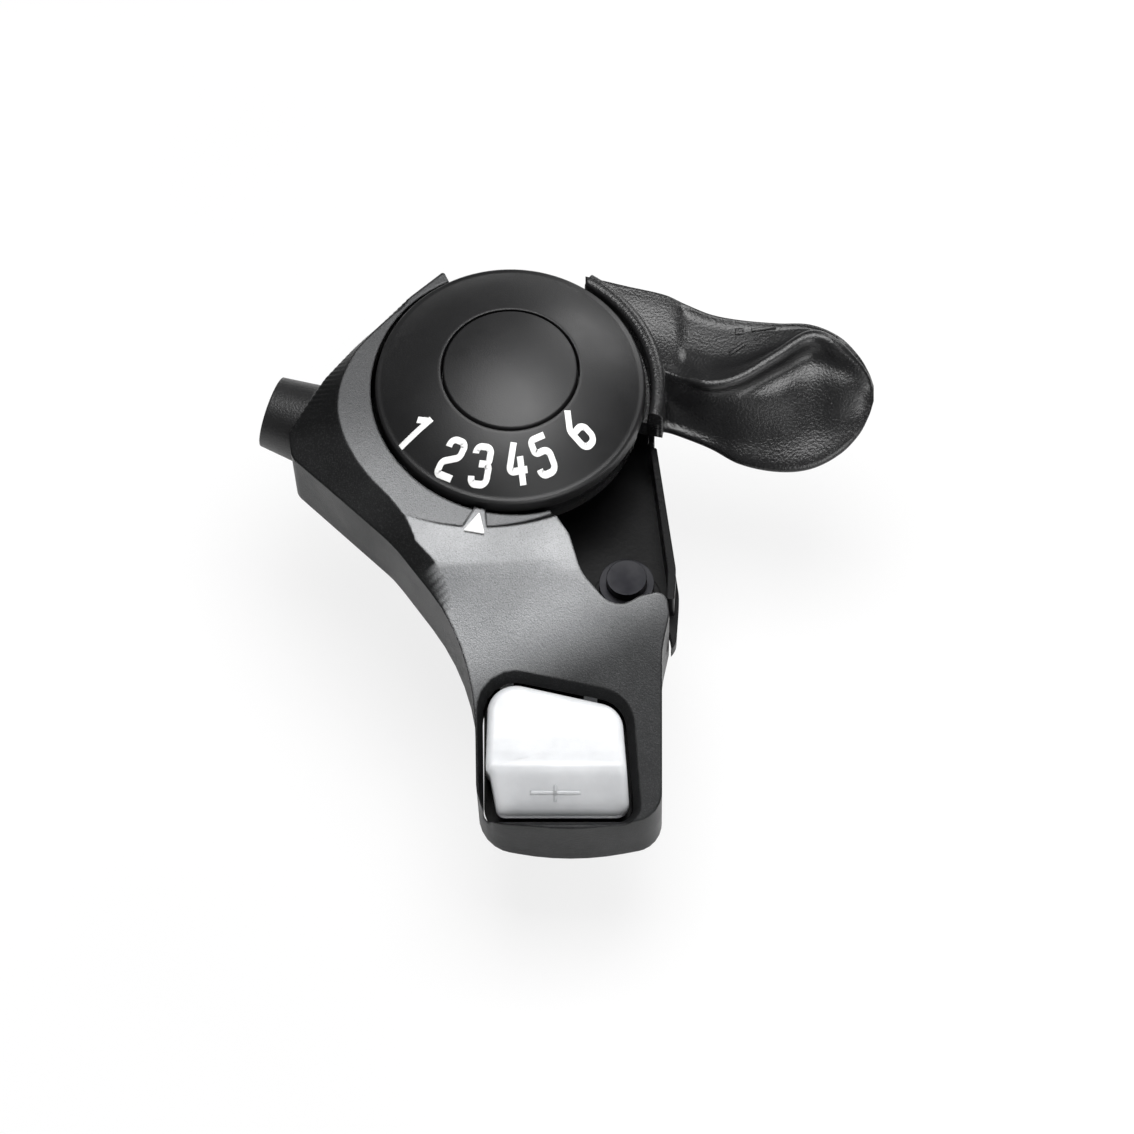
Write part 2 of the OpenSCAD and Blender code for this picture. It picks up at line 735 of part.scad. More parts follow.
function lever_ring(x) =
    let (
        v = [for (c = [1:10]) along(lever_rows, x, c)],
        back = [v[0], v[1]],
        crest = [v[2], v[3]],
        hollow = [v[4], v[5]],
        brow = [v[6], v[7]],
        front = v[8],
        low = v[9],
        deep = (back.y - low) / 8,
        section = [
            [back.x - 0.9 * deep, low + 1.1 * deep],
            [back.x + 0.1 * deep, lerp(low, back.y, 0.5)],
            back - [0.1, 0.35] * deep,
            lerp(back, crest, 0.12) + [0, 0.12] * deep,
            lerp(back, crest, 0.6) - [0, 0.3] * deep,
            crest + [0.6, -0.12] * deep,
            crest - [0.35, 0.15] * deep,
            hollow,
            brow,
            [lerp(brow.x, front, 0.55), lerp(brow.y, low, 0.45)],
            [front, low + 1.5 * deep],
            [front + 0.7 * deep, low + 0.35 * deep],
            [lerp(front, back.x, 0.35), low],
            [lerp(front, back.x, 0.7), low]
        ]
    )
    [for (q = loop_curve(section, 3)) [lever_scale * x, q.x, q.y]];

module lever_pad() {
    steps = 40;
    from = lever_rows[0][0];
    reach = lever_rows[len(lever_rows) - 1][0] - from;
    skin([for (i = [0:steps]) lever_ring(from + reach * sin(90 * i / steps))]);
}

module thumb_lever() {
    color("black") at_axis() difference() {
        union() {
            translate([0, 0, hub_z]) cylinder(r = hub_r, h = hub_top - hub_z);
            // The collar that hugs the dial
            translate([0, 0, hub_z]) rotate([0, 0, -12])
                rotate_extrude(angle = 70, $fn = 96) translate([hub_r - 1, 0]) square([3.4, hub_top - hub_z - 0.6]);
            translate([0, 0, hub_z]) rotate([0, 0, -12])
                rotate_extrude(angle = 70, $fn = 96) translate([well_r + 0.3, 0]) square([1.6, rim_z + 0.4 - hub_z]);
            translate([0, 0, rim_z]) lever_pad();
        }
        translate([0, 0, hub_z - 1]) cylinder(r = tube_r + run_gap, h = 20);
        // Room for the return spring
        translate([0, 0, hub_z + hub_plate_t]) tube(9.4, 6.2, 5);
        translate([0, 0, hub_top]) cylinder(r = well_r + 0.5, h = 8);
        rotate([0, 0, pawl_pin_angle]) translate([pawl_pin_r, 0, hub_z - 1]) cylinder(r = 1.2, h = 2.4);
        // The mechanism turns under the hub plate
        translate([0, 0, hub_z - 8]) cylinder(r = well_r + 0.4, h = 8);
    }
}

module lever_spring() {
    color("silver") at_axis(hub_z + hub_plate_t + 0.05) rotate([0, 0, 200]) coil(7.8, 0.7, 2, 0.75);
}

// The pawl's outline with its nose just clear of the teeth, about the pin
module feed_pawl() {
    nose = (ratchet_r + pawl_lift) * [cos(feed_angle), sin(feed_angle)];
    pin = pawl_pin_r * [cos(pawl_pin_angle), sin(pawl_pin_angle)];
    color("silver") at_axis(ratchet_z) difference() {
        linear_extrude(ratchet_t) {
            translate(pin) circle(r = 1.8);
            polygon([
                pin + 1.8 * [cos(pawl_pin_angle), sin(pawl_pin_angle)],
                15.3 * [cos(34), sin(34)],
                13.9 * [cos(feed_angle - 3), sin(feed_angle - 3)],
                nose + 0.35 * [cos(feed_angle + 90), sin(feed_angle + 90)],
                nose - 0.3 * [cos(feed_angle + 90), sin(feed_angle + 90)],
                13.5 * [cos(36), sin(36)],
                pin - 1.8 * [cos(pawl_pin_angle), sin(pawl_pin_angle)]
            ]);
        }
        translate([pin.x, pin.y, -1]) cylinder(r = 1.2 + run_gap, h = 5);
    }
}

module pawl_pin() {
    color("silver") at_axis() rotate([0, 0, pawl_pin_angle]) translate([pawl_pin_r, 0, ratchet_z - 1.4]) {
        cylinder(r = 1.2, h = hub_z + 1.4 - ratchet_z + 1.4);
        cylinder(r = 1.7, h = 0.4);
    }
}

module pawl_spring() {
    color("silver") at_axis() rotate([0, 0, pawl_pin_angle]) translate([pawl_pin_r, 0, ratchet_z - 0.95])
        coil(1.65, 0.35, 1.4, 0.38);
}

// Half section of the dial: a thin dome on a short skirt, with a well for the cap
module dial_section() {
    edge = dial_r - 0.5;
    ball = (edge * edge + dome_h * dome_h) / (2 * dome_h);
    rise = function (x) sqrt(ball * ball - x * x) - ball + dome_h;
    outer = [for (k = [0:14]) let (x = lerp(cap_r + 0.3, edge, k / 14)) [x, dome_z + rise(x)]];
    inner = [for (k = [14:-1:0]) let (x = lerp(cap_r + 1.5, edge - dial_wall, k / 14))
        [x, dome_z + rise(x) - dial_wall]];
    polygon(concat(
        outer,
        [[dial_r, dome_z - 0.5], [dial_r, dial_z], [dial_r - dial_wall, dial_z]],
        inner,
        [[cap_r + 1.5, dial_z + 1.2], [tube_r + 1.4, dial_z + 1.2], [tube_r + 1.4, dial_z],
         [axle_r + run_gap, dial_z], [axle_r + run_gap, dial_z + 2.2], [cap_r + 0.3, dial_z + 2.2]]
    ));
}

module dial() {
    color("black") at_axis() difference() {
        rotate_extrude($fn = 96) dial_section();
        // Socket for the two flats of the spool's tube
        intersection() {
            translate([0, 0, dial_z - 1]) cylinder(r = tube_r + run_gap, h = 2);
            translate([-tube_r - 1, -3.85, dial_z - 1]) cube([2 * tube_r + 2, 7.7, 2]);
        }
    }
}

module dial_washer() {
    color("silver") at_axis(dial_z + 2.25) tube(5.4, 1.7, 0.4);
}

module dial_screw() {
    color("silver") at_axis() difference() {
        union() {
            translate([0, 0, dial_z - 4]) cylinder(r = 1.6, h = 6.8);
            translate([0, 0, dial_z + 2.65]) cylinder(r = 3, h = 1.1);
        }
        translate([-2, -0.35, dial_z + 3.15]) cube([4, 0.7, 2]);
        translate([-0.35, -2, dial_z + 3.15]) cube([0.7, 4, 2]);
    }
}

// The cap goes on with the dome's curve, and its ring sits in the dial's well
module dial_cap() {
    edge = dial_r - 0.5;
    ball = (edge * edge + dome_h * dome_h) / (2 * dome_h);
    rise = function (x) sqrt(ball * ball - x * x) - ball + dome_h;
    top = [for (k = [0:8]) let (x = (cap_r - 0.3) * k / 8) [x, dome_z + rise(x)]];
    color("black") at_axis() rotate_extrude($fn = 96) polygon(concat(
        top,
        [[cap_r - 0.3, dial_z + 2.25], [cap_r - 1.5, dial_z + 2.25], [cap_r - 1.5, dial_z + 4],
         [0, dial_z + 4]]
    ));
}

// Side line of the button in the arm's frame: hollowed face, ridge, steep front
button_side = [
    [button_top, -0.5], [button_top - 1.2, 0.1], [-21.4, 0.4], [-24, 0.9], [-26, 1.7],
    [-27.3, ridge_h - 0.2], [ridge_y, ridge_h], [-29.2, ridge_h - 0.5], [-30.6, 0.9], [-32.2, -0.7],
    [button_end, -2.4], [button_end, -3.3], [button_top, -6.4]
];
button_corners = [
    [button_left + 0.3, button_top, 3.4],
    [button_right - 1, button_top - 3.6, 3],
    [button_right, button_end, 1.4],
    [button_left + 1.4, button_end, 0.9],
    [button_left + 0.5, button_end + 4.6, 0.6],
    [button_left, button_end + 5.2, 0.4]
];
ear_x = [-1.2, 8.8];
ear_w = 1.6;
finger_z = -10.6;

module release_button() {
    color("white") difference() {
        union() {
            at_arm() {
                intersection() {
                    translate([0, 0, -8]) linear_extrude(14) polygon(rounded(button_corners));
                    across(button_side, -10, 30);
                }
                for (x = ear_x) translate([x, 0, 0]) {
                    translate([0, button_top - 4.2, pivot_z])
                        cube([ear_w, pivot_y - button_top + 4.2, 1.8]);
                    translate([0, pivot_y, pivot_z]) rotate([0, 90, 0]) cylinder(r = 1.8, h = ear_w);
                }
            }
            // The finger that reaches to the leaf's tab, with its ramp
            at_axis(rim_z + finger_z) {
                translate([ear_x[0], -32, 0]) cube([ear_w, 18.9, 1.3]);
                translate([ear_x[0], -14.3, 0]) cube([4.6, 1.2, 1.3]);
                across([[-15.6, 0], [-13.1, 0], [-13.1, 2.7], [-14.1, 2.7], [-14.1, 1.6]], 1.2, 3.4);
            }
        }
        at_arm() {
            translate([-10, pivot_y, pivot_z]) rotate([0, 90, 0]) cylinder(r = 1 + run_gap, h = 40);
            // The hollow underside, with room for the spring
            intersection() {
                translate([0, 0, -9]) linear_extrude(7.2) offset(delta = -1.5)
                    polygon(rounded(button_corners));
                translate([-10, -40, -10]) cube([40, 40 + button_top - 1.6, 12]);
            }
        }
    }
}

module button_pin() {
    color("silver") at_arm() translate([ear_x[0], pivot_y, pivot_z]) rotate([0, 90, 0])
        cylinder(r = 1, h = lug_x[1] + lug_w - ear_x[0]);
}

module button_spring() {
    color("silver") at_under() translate([6.5, -23.6, 1.7]) rotate([arm_tilt - under_tilt, 0, 0])
        coil(2.1, 0.5, 4, 0.95);
}

barrel_start = 22.4;
module barrel_adjuster() {
    color("black") at_cable() difference() {
        union() {
            translate([0, 0, barrel_start]) cylinder(r1 = barrel_r, r2 = barrel_r - 0.55, h = barrel_len);
            translate([0, 0, barrel_start - 7]) cylinder(r = 2.5 - run_gap, h = 8);
        }
        translate([0, 0, 0]) cylinder(r = 0.9, h = 60);
        translate([0, 0, barrel_start + 1]) cylinder(r = 2.6, h = 20);
    }
}

module barrel_spring() {
    color("silver") at_cable() translate([0, 0, barrel_start - 2.1]) coil(3.1, 0.5, 2, 0.7);
}

base_bracket();
clamp_strap();
clamp_bolt();
clamp_nut();
top_cover();
lower_cover();
cover_screws();
lower_screws();
pivot_axle();
thrust_washer();
cable_spool();
spool_spring();
ratchet_wheel();
index_spring();
index_post();
thumb_lever();
lever_spring();
feed_pawl();
pawl_pin();
pawl_spring();
dial();
dial_washer();
dial_screw();
dial_cap();
release_button();
button_pin();
button_spring();
barrel_adjuster();
barrel_spring();
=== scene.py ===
# %% [markdown]
# # A thumb shifter with a numbered dial
# A rider pushes the long black lever to pull the gear cable, and the white button lets the
# cable back one click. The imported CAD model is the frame: every piece here lies in its
# coordinates and rides on one of its bodies, so the joints move the pictures as well.

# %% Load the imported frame
import math

import bpy
import numpy as np
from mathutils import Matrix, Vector


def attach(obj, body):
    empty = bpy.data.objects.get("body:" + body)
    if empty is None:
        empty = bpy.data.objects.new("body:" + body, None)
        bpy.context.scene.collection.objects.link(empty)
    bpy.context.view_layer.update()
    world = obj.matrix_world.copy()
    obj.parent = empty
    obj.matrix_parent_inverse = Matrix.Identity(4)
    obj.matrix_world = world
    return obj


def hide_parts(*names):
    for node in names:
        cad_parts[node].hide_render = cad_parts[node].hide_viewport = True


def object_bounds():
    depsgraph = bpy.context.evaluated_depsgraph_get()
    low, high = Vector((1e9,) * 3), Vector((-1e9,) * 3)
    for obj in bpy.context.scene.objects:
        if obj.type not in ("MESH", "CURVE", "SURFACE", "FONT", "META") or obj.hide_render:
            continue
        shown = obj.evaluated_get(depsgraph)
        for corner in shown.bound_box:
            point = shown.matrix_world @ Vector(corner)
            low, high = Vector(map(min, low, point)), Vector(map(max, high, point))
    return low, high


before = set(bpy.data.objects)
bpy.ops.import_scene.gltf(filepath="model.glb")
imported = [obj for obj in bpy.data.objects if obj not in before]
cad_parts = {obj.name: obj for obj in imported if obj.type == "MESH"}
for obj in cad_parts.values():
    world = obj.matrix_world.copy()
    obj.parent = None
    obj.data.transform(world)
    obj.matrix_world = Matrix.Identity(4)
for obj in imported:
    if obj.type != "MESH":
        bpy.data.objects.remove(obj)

cad_box = [list(corner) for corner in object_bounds()]
MM = 0.001

# %% [markdown]
# ## Camera and stage
# The photograph looks down at the shifter from the rider's side, 61 degrees above the
# horizon, and its outlines hardly converge, so the lens is long and stands well back. The
# picture is 1134 pixels square and shows 135 mm, which fixes distance and focal length.

# %% Camera
scene = bpy.context.scene
LOOK_DOWN = math.radians(61)
PICTURE_WIDTH = 0.135
look_at = Vector((-5.51, -15.85, 24.5)) * MM
distance = 3.0
camera_data = bpy.data.cameras.new("photo_lens")
camera_data.sensor_width = 36
camera_data.lens = camera_data.sensor_width * distance / PICTURE_WIDTH
camera_data.clip_start = 0.01
camera = bpy.data.objects.new("photo_camera", camera_data)
camera.location = look_at + distance * Vector((0, -math.cos(LOOK_DOWN), math.sin(LOOK_DOWN)))
camera.rotation_euler = (math.pi / 2 - LOOK_DOWN, 0, 0)
scene.collection.objects.link(camera)
scene.camera = camera
scene.view_settings.view_transform = "Standard"
print("lens", round(camera_data.lens), "mm at", distance, "m")

# %% [markdown]
# ## Nodes in few words
# Every finish below is a small network of shader nodes. One helper adds a node, and takes
# a number for a socket or another node's output, which it wires up. Effects that several
# finishes share become node groups, built once and placed with their own values.


# %% Helpers for shader nodes
def fill(tree, node, **inputs):
    """Sets or wires sockets by name, _ for a blank, or by number as s0, s1..."""
    for name, value in inputs.items():
        by_number = name[0] == "s" and name[1:].isdigit()
        socket = node.inputs[int(name[1:]) if by_number else name.replace("_", " ")]
        if isinstance(value, bpy.types.NodeSocket):
            tree.links.new(value, socket)
        else:
            socket.default_value = value
    return node


def put(tree, kind, settings=None, **inputs):
    """Adds a node with its settings, then fills its sockets."""
    node = tree.nodes.new("ShaderNode" + kind)
    for name, value in (settings or {}).items():
        setattr(node, name, value)
    return fill(tree, node, **inputs)


def calc(tree, operation, *values):
    """One arithmetic step on numbers or sockets."""
    sockets = {f"s{i}": value for i, value in enumerate(values)}
    return put(tree, "Math", {"operation": operation}, **sockets).outputs[0]


def blend_colour(tree, share, low, high):
    """A colour between low and high by a share from 0 to 1."""
    mix = put(tree, "Mix", {"data_type": "RGBA"}, s0=share, s6=low, s7=high)
    return mix.outputs[2]


def ramp(tree, value, low, high, to_low=0.0, to_high=1.0):
    """Maps low..high to to_low..to_high with soft ends."""
    return put(tree, "MapRange", {"interpolation_type": "SMOOTHSTEP"}, Value=value,
               From_Min=low, From_Max=high, To_Min=to_low, To_Max=to_high).outputs[0]


def rgb(red, green, blue):
    """A colour socket's four numbers from three."""
    return (red, green, blue, 1.0)


print("node helpers ready")


# %% Helpers for groups and materials
def start_group(name, inputs, outputs):
    """An empty node group with named sockets: {name: default} in, {name: kind} out."""
    tree = bpy.data.node_groups.new(name, "ShaderNodeTree")
    for label, value in inputs.items():
        socket = tree.interface.new_socket(label, in_out="INPUT", socket_type="NodeSocketFloat")
        socket.default_value = value
    for label, kind in outputs.items():
        tree.interface.new_socket(label, in_out="OUTPUT", socket_type="NodeSocket" + kind)
    return tree, tree.nodes.new("NodeGroupInput").outputs, tree.nodes.new("NodeGroupOutput")


def use_group(tree, name, **inputs):
    """Places a group in a material's tree with its own values, and gives its outputs."""
    return put(tree, "Group", {"node_tree": bpy.data.node_groups[name]}, **inputs).outputs


def start_material(name):
    """A new material with its tree and its main shader."""
    material = bpy.data.materials.new(name)
    material.use_nodes = True
    return material, material.node_tree, material.node_tree.nodes["Principled BSDF"]


def object_place(tree):
    """Where the surface point lies in the object's own metres."""
    return put(tree, "TexCoord").outputs["Object"]


def noise(tree, place, scale, detail, roughness):
    """A soft noise over a place, from 0 to 1."""
    return put(tree, "TexNoise", Vector=place, Scale=scale, Detail=detail,
               Roughness=roughness).outputs["Fac"]


print("group and material helpers ready")

# %% [markdown]
# ## Four shared effects
# Moulded plastic isn't smooth: the steel mould was sparked or etched, and its fine pits
# come out as grain. Large soft blotches change how it shines, because the melt cooled
# unevenly and hands have touched it. Edges lose their sharpness and shine from handling.
# Metal flake in the cover's plastic catches the light in tiny spots.


# %% Shared effects as node groups
# A size in millimetres becomes a texture's scale: this many to a metre
PER_METRE = 1 / MM


def build_moulded_grain():
    """Height = coarse pits and finer ones, added by share, from two noises of set sizes."""
    tree, given, out = start_group(
        "moulded_grain",
        {"Pit mm": 0.4, "Share of fine": 0.4},
        {"Height": "Float", "Speck": "Float"},
    )
    place = object_place(tree)
    coarse_scale = calc(tree, "DIVIDE", PER_METRE, given["Pit mm"])
    fine_scale = calc(tree, "MULTIPLY", coarse_scale, 2.7)
    coarse = noise(tree, place, coarse_scale, 2.0, 0.55)
    fine = noise(tree, place, fine_scale, 1.0, 0.5)
    fine_share = calc(tree, "MULTIPLY", fine, given["Share of fine"])
    height = calc(tree, "ADD", ramp(tree, coarse, 0.36, 0.64), fine_share)
    fill(tree, out, Height=height, Speck=ramp(tree, fine, 0.5, 0.72))


def build_handled_haze():
    """Two large noises: one for colour, one for shine, each about 0 to 1."""
    tree, given, out = start_group(
        "handled_haze", {"Blotch mm": 14.0}, {"Tone": "Float", "Shine": "Float"}
    )
    place = object_place(tree)
    scale = calc(tree, "DIVIDE", PER_METRE, given["Blotch mm"])
    tone = noise(tree, place, scale, 3.0, 0.6)
    other = put(tree, "VectorMath", {"operation": "ADD"}, s0=place, s1=(0.31, 0.17, 0.05))
    shine = noise(tree, other.outputs[0], scale, 5.0, 0.65)
    fill(tree, out, Tone=ramp(tree, tone, 0.3, 0.7), Shine=ramp(tree, shine, 0.3, 0.7))


def build_rubbed_edge():
    """Mask = how far a rounded normal leans from the true one, broken up by a fine noise."""
    tree, given, out = start_group(
        "rubbed_edge", {"Width mm": 0.3, "Amount": 0.5}, {"Mask": "Float", "Normal": "Vector"}
    )
    radius = calc(tree, "MULTIPLY", given["Width mm"], MM)
    rounded = put(tree, "Bevel", {"samples": 6}, Radius=radius).outputs[0]
    true_normal = put(tree, "NewGeometry").outputs["True Normal"]
    lean = put(tree, "VectorMath", {"operation": "DOT_PRODUCT"}, s0=rounded, s1=true_normal)
    away = calc(tree, "SUBTRACT", 1.0, lean.outputs["Value"])
    broken = noise(tree, object_place(tree), 900.0, 4.0, 0.7)
    worn = calc(tree, "MULTIPLY", ramp(tree, away, 0.02, 0.25), ramp(tree, broken, 0.3, 0.6))
    fill(tree, out, Mask=calc(tree, "MULTIPLY", worn, given["Amount"]), Normal=rounded)


def build_metal_flake():
    """Glint = the brightest cells of a small cell pattern, each cell a flake with its own tone."""
    tree, given, out = start_group(
        "metal_flake", {"Flake mm": 0.12, "Share": 0.3}, {"Glint": "Float"}
    )
    scale = calc(tree, "DIVIDE", PER_METRE, given["Flake mm"])
    cells = put(tree, "TexVoronoi", Vector=object_place(tree), Scale=scale)
    tone = put(tree, "SeparateColor", Color=cells.outputs["Color"]).outputs[0]
    fill(tree, out, Glint=ramp(tree, tone, calc(tree, "SUBTRACT", 1.0, given["Share"]), 1.0))


for build in (build_moulded_grain, build_handled_haze, build_rubbed_edge, build_metal_flake):
    build()
print("groups", [group.name for group in bpy.data.node_groups])

# %% [markdown]
# ## Moulded plastics
# Cover, dial, lever, barrel and base are all moulded, so one recipe makes them: colour
# between two tones by the haze, a paler tone on rubbed edges and specks, roughness from the
# haze, and the grain as bump over the softened edge. What differs is only the values. On
# the cover the recipe also paints a highlight: a paler grey on faces that look towards the
# light, strongest near the dial and fading along the arm.


# %% Moulded plastic
# A painted highlight: the light comes from above, right and front, and a face that turns away from
# it gets none
HIGHLIGHT_LIGHT_FROM = (0.351, -0.25, 0.902)
HIGHLIGHT_FACING = (0.815, 0.9)
# The painted highlight fades along the arm, from none beside the button to full nearer the dial, in
# metres
HIGHLIGHT_FADE = (-0.0265, -0.0155)
# The fade's border lies aslant, further up on the arm's right side than on its left
HIGHLIGHT_SLANT = 0.5
# Beside the dial the painted highlight weakens towards the back, from full at the pointer, in
# metres
HIGHLIGHT_WEAKEN = (-0.006, 0.008)
HIGHLIGHT_LEAST = 0.4


def painted_highlight_share(tree, normal):
    """How strong the painted highlight is at a spot: by facing the light, along the arm, and beside
    the dial.
    """
    facing = put(tree, "VectorMath", {"operation": "DOT_PRODUCT"}, s0=normal, s1=HIGHLIGHT_LIGHT_FROM)
    place = put(tree, "SeparateXYZ", Vector=object_place(tree)).outputs
    along = calc(tree, "MULTIPLY_ADD", place["X"], -HIGHLIGHT_SLANT, place["Y"])
    share = calc(tree, "MULTIPLY", ramp(tree, facing.outputs["Value"], *HIGHLIGHT_FACING),
                 ramp(tree, along, *HIGHLIGHT_FADE))
    return calc(tree, "MULTIPLY", share, ramp(tree, place["Y"], *HIGHLIGHT_WEAKEN, 1.0, HIGHLIGHT_LEAST))


def moulded_plastic(name, dark, pale, rough, pit_mm, depth_mm, *, metallic=0.0, flake=0.0,
                    edge_mm=0.25, edge_gain=0.4, speck=0.0, specular=0.5, painted_highlight=None):
    """A plastic whose tone, shine and grain follow the shared effects, and where one is given,
    a painted highlight of that colour on faces towards the light."""
    material, tree, shader = start_material(name)
    grain = use_group(tree, "moulded_grain", Pit_mm=pit_mm)
    haze = use_group(tree, "handled_haze")
    edge = use_group(tree, "rubbed_edge", Width_mm=edge_mm, Amount=edge_gain)
    colour = blend_colour(tree, haze["Tone"], rgb(*dark), rgb(*pale))
    lighter = rgb(*(min(1.0, 2.2 * c + 0.02) for c in pale))
    if speck:
        share = calc(tree, "MULTIPLY", grain["Speck"], speck)
        colour = blend_colour(tree, share, colour, lighter)
    if flake:
        glint = use_group(tree, "metal_flake", Share=0.35)["Glint"]
        colour = blend_colour(tree, calc(tree, "MULTIPLY", glint, flake), colour, lighter)
    colour = blend_colour(tree, edge["Mask"], colour, lighter)
    # Painted highlight: a paler grey mixed in where the surface faces the light
    if painted_highlight:
        highlight_colour = blend_colour(tree, grain["Speck"], rgb(*painted_highlight), lighter)
        colour = blend_colour(tree, painted_highlight_share(tree, edge["Normal"]), colour, highlight_colour)
    shine = ramp(tree, haze["Shine"], 0.0, 1.0, rough - 0.04, rough + 0.05)
    polish = calc(tree, "MULTIPLY", edge["Mask"], 0.1)
    bump = put(tree, "Bump", Height=grain["Height"], Distance=depth_mm * MM, Normal=edge["Normal"])
    fill(tree, shader, Base_Color=colour, Roughness=calc(tree, "SUBTRACT", shine, polish),
         Normal=bump.outputs[0], Metallic=metallic, Specular_IOR_Level=specular)
    return material


print("moulded plastic ready")

# %% The moulded finishes
# The last colour of the cover's finish is a painted highlight on its faces towards the light
cover_finish = moulded_plastic(
    "cover_satin_grey_painted_highlight", (0.009, 0.0093, 0.0098), (0.015, 0.0154, 0.016), 0.42, 0.2, 0.006,
    metallic=0.75, flake=0.25, edge_mm=0.4, edge_gain=0.5, painted_highlight=(0.15, 0.152, 0.155),
)
dial_finish = moulded_plastic(
    "dial_satin_black", (0.006, 0.006, 0.0065), (0.01, 0.01, 0.0105), 0.42, 0.18, 0.004,
    edge_mm=0.2, edge_gain=0.25,
)
lever_finish = moulded_plastic(
    "lever_grained_black", (0.005, 0.005, 0.0054), (0.008, 0.008, 0.0084), 0.28, 0.3, 0.014,
    speck=0.3, edge_mm=0.3, edge_gain=0.2,
)
base_finish = moulded_plastic(
    "base_gloss_black", (0.002, 0.002, 0.0022), (0.004, 0.004, 0.0044), 0.34, 0.5, 0.004,
    edge_mm=0.25, edge_gain=0.3, specular=0.12,
)
barrel_finish = moulded_plastic(
    "barrel_black", (0.007, 0.007, 0.0075), (0.012, 0.012, 0.0125), 0.42, 0.25, 0.012,
    edge_mm=0.3, edge_gain=0.5,
)
spool_finish = moulded_plastic(
    "spool_grey", (0.16, 0.16, 0.155), (0.22, 0.22, 0.21), 0.5, 0.3, 0.008, edge_gain=0.3,
)
print("moulded finishes ready")

# %% [markdown]
# ## The white button and the printed marks
# The button is a milky nylon: light goes a little way in and comes out softened, which
# subsurface scattering does. The numbers and the pointer are white ink, printed thick,
# with a slightly uneven face.


# %% White nylon and white ink
def milky_nylon():
    """White plastic that light enters, with a faint haze and very fine grain."""
    material, tree, shader = start_material("button_milky_nylon")
    haze = use_group(tree, "handled_haze", Blotch_mm=6.0)
    grain = use_group(tree, "moulded_grain", Pit_mm=0.3)
    edge = use_group(tree, "rubbed_edge", Width_mm=0.3, Amount=0.3)
    colour = blend_colour(tree, haze["Tone"], rgb(0.58, 0.59, 0.605), rgb(0.66, 0.67, 0.685))
    bump = put(tree, "Bump", Height=grain["Height"], Distance=0.003 * MM, Normal=edge["Normal"])
    fill(tree, shader, Base_Color=colour, Roughness=ramp(tree, haze["Shine"], 0.0, 1.0, 0.3, 0.42),
         Normal=bump.outputs[0], Subsurface_Weight=0.35, Subsurface_Radius=(1.0, 0.95, 0.9),
         Subsurface_Scale=1.2 * MM)
    return material


def white_ink():
    """Printed ink: nearly white, a little uneven in tone, with the ripple of its thick film."""
    material, tree, shader = start_material("white_ink")
    haze = use_group(tree, "handled_haze", Blotch_mm=1.6)
    grain = use_group(tree, "moulded_grain", Pit_mm=0.2)
    colour = blend_colour(tree, haze["Tone"], rgb(0.88, 0.88, 0.87), rgb(0.95, 0.95, 0.94))
    bump = put(tree, "Bump", Height=grain["Height"], Distance=0.004 * MM)
    fill(tree, shader, Base_Color=colour, Roughness=ramp(tree, haze["Shine"], 0.0, 1.0, 0.4, 0.55),
         Normal=bump.outputs[0])
    return material


button_finish = milky_nylon()
ink_finish = white_ink()
print("white finishes ready")

# %% [markdown]
# ## Metals
# The clamp band and bracket screws are zinc plated steel, the bolt is blackened, and the
# springs are drawn wire. Plated metal shows faint clouds and fine scratches, so a stretched
# noise varies the roughness and gives a very shallow bump.


# %% Metals
def worked_metal(name, dark, pale, rough, scratch_mm, stretch=(1.0, 1.0, 12.0)):
    """A metal with clouds in its tone and fine drawn scratches along one direction."""
    material, tree, shader = start_material(name)
    haze = use_group(tree, "handled_haze", Blotch_mm=5.0)
    place = put(tree, "Mapping", Vector=object_place(tree), Scale=stretch)
    lines = noise(tree, place.outputs[0], 1 / (scratch_mm * MM), 3.0, 0.5)
    colour = blend_colour(tree, haze["Tone"], rgb(*dark), rgb(*pale))
    edge = use_group(tree, "rubbed_edge", Width_mm=0.15, Amount=0.0)
    bump = put(tree, "Bump", Height=lines, Distance=0.002 * MM, Normal=edge["Normal"])
    fill(tree, shader, Base_Color=colour, Normal=bump.outputs[0], Metallic=1.0,
         Roughness=calc(tree, "MULTIPLY_ADD", lines, 0.16, rough - 0.08))
    return material


zinc = worked_metal("clamp_zinc", (0.4, 0.41, 0.42), (0.52, 0.52, 0.52), 0.34, 0.5)
blackened = worked_metal(
    "bolt_blackened", (0.012, 0.012, 0.014), (0.025, 0.025, 0.027), 0.36, 0.4
)
steel = worked_metal("ground_steel", (0.48, 0.49, 0.5), (0.6, 0.6, 0.6), 0.3, 0.3)
wire = worked_metal("drawn_wire", (0.42, 0.42, 0.43), (0.55, 0.55, 0.55), 0.28, 0.2)
print("metals", [metal.name for metal in (zinc, blackened, steel, wire)])

# %% [markdown]
# ## Which finish each frame part gets
# The frame's own parts keep their shape. Each gets the finish of what it is made of.

# %% Finishes on the frame's parts
PARTS_IN = (
    (cover_finish, ("top_cover",)),
    (base_finish, ("base_bracket", "lower_cover")),
    (dial_finish, ("dial", "dial_cap")),
    (lever_finish, ("thumb_lever",)),
    (button_finish, ("release_button",)),
    (barrel_finish, ("barrel_adjuster",)),
    (spool_finish, ("cable_spool",)),
    (zinc, ("clamp_strap",)),
    (blackened, ("clamp_bolt", "clamp_nut")),
    (steel, ("cover_screws", "lower_screws", "pivot_axle", "thrust_washer", "ratchet_wheel",
             "index_post", "feed_pawl", "pawl_pin", "dial_washer", "dial_screw", "button_pin")),
    (wire, ("spool_spring", "index_spring", "lever_spring", "pawl_spring", "button_spring",
            "barrel_spring")),
)
FINISH_OF = {node_name: finish for finish, names in PARTS_IN for node_name in names}
for node_name, finish in FINISH_OF.items():
    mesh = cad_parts[node_name].data
    mesh.materials.clear()
    mesh.materials.append(finish)
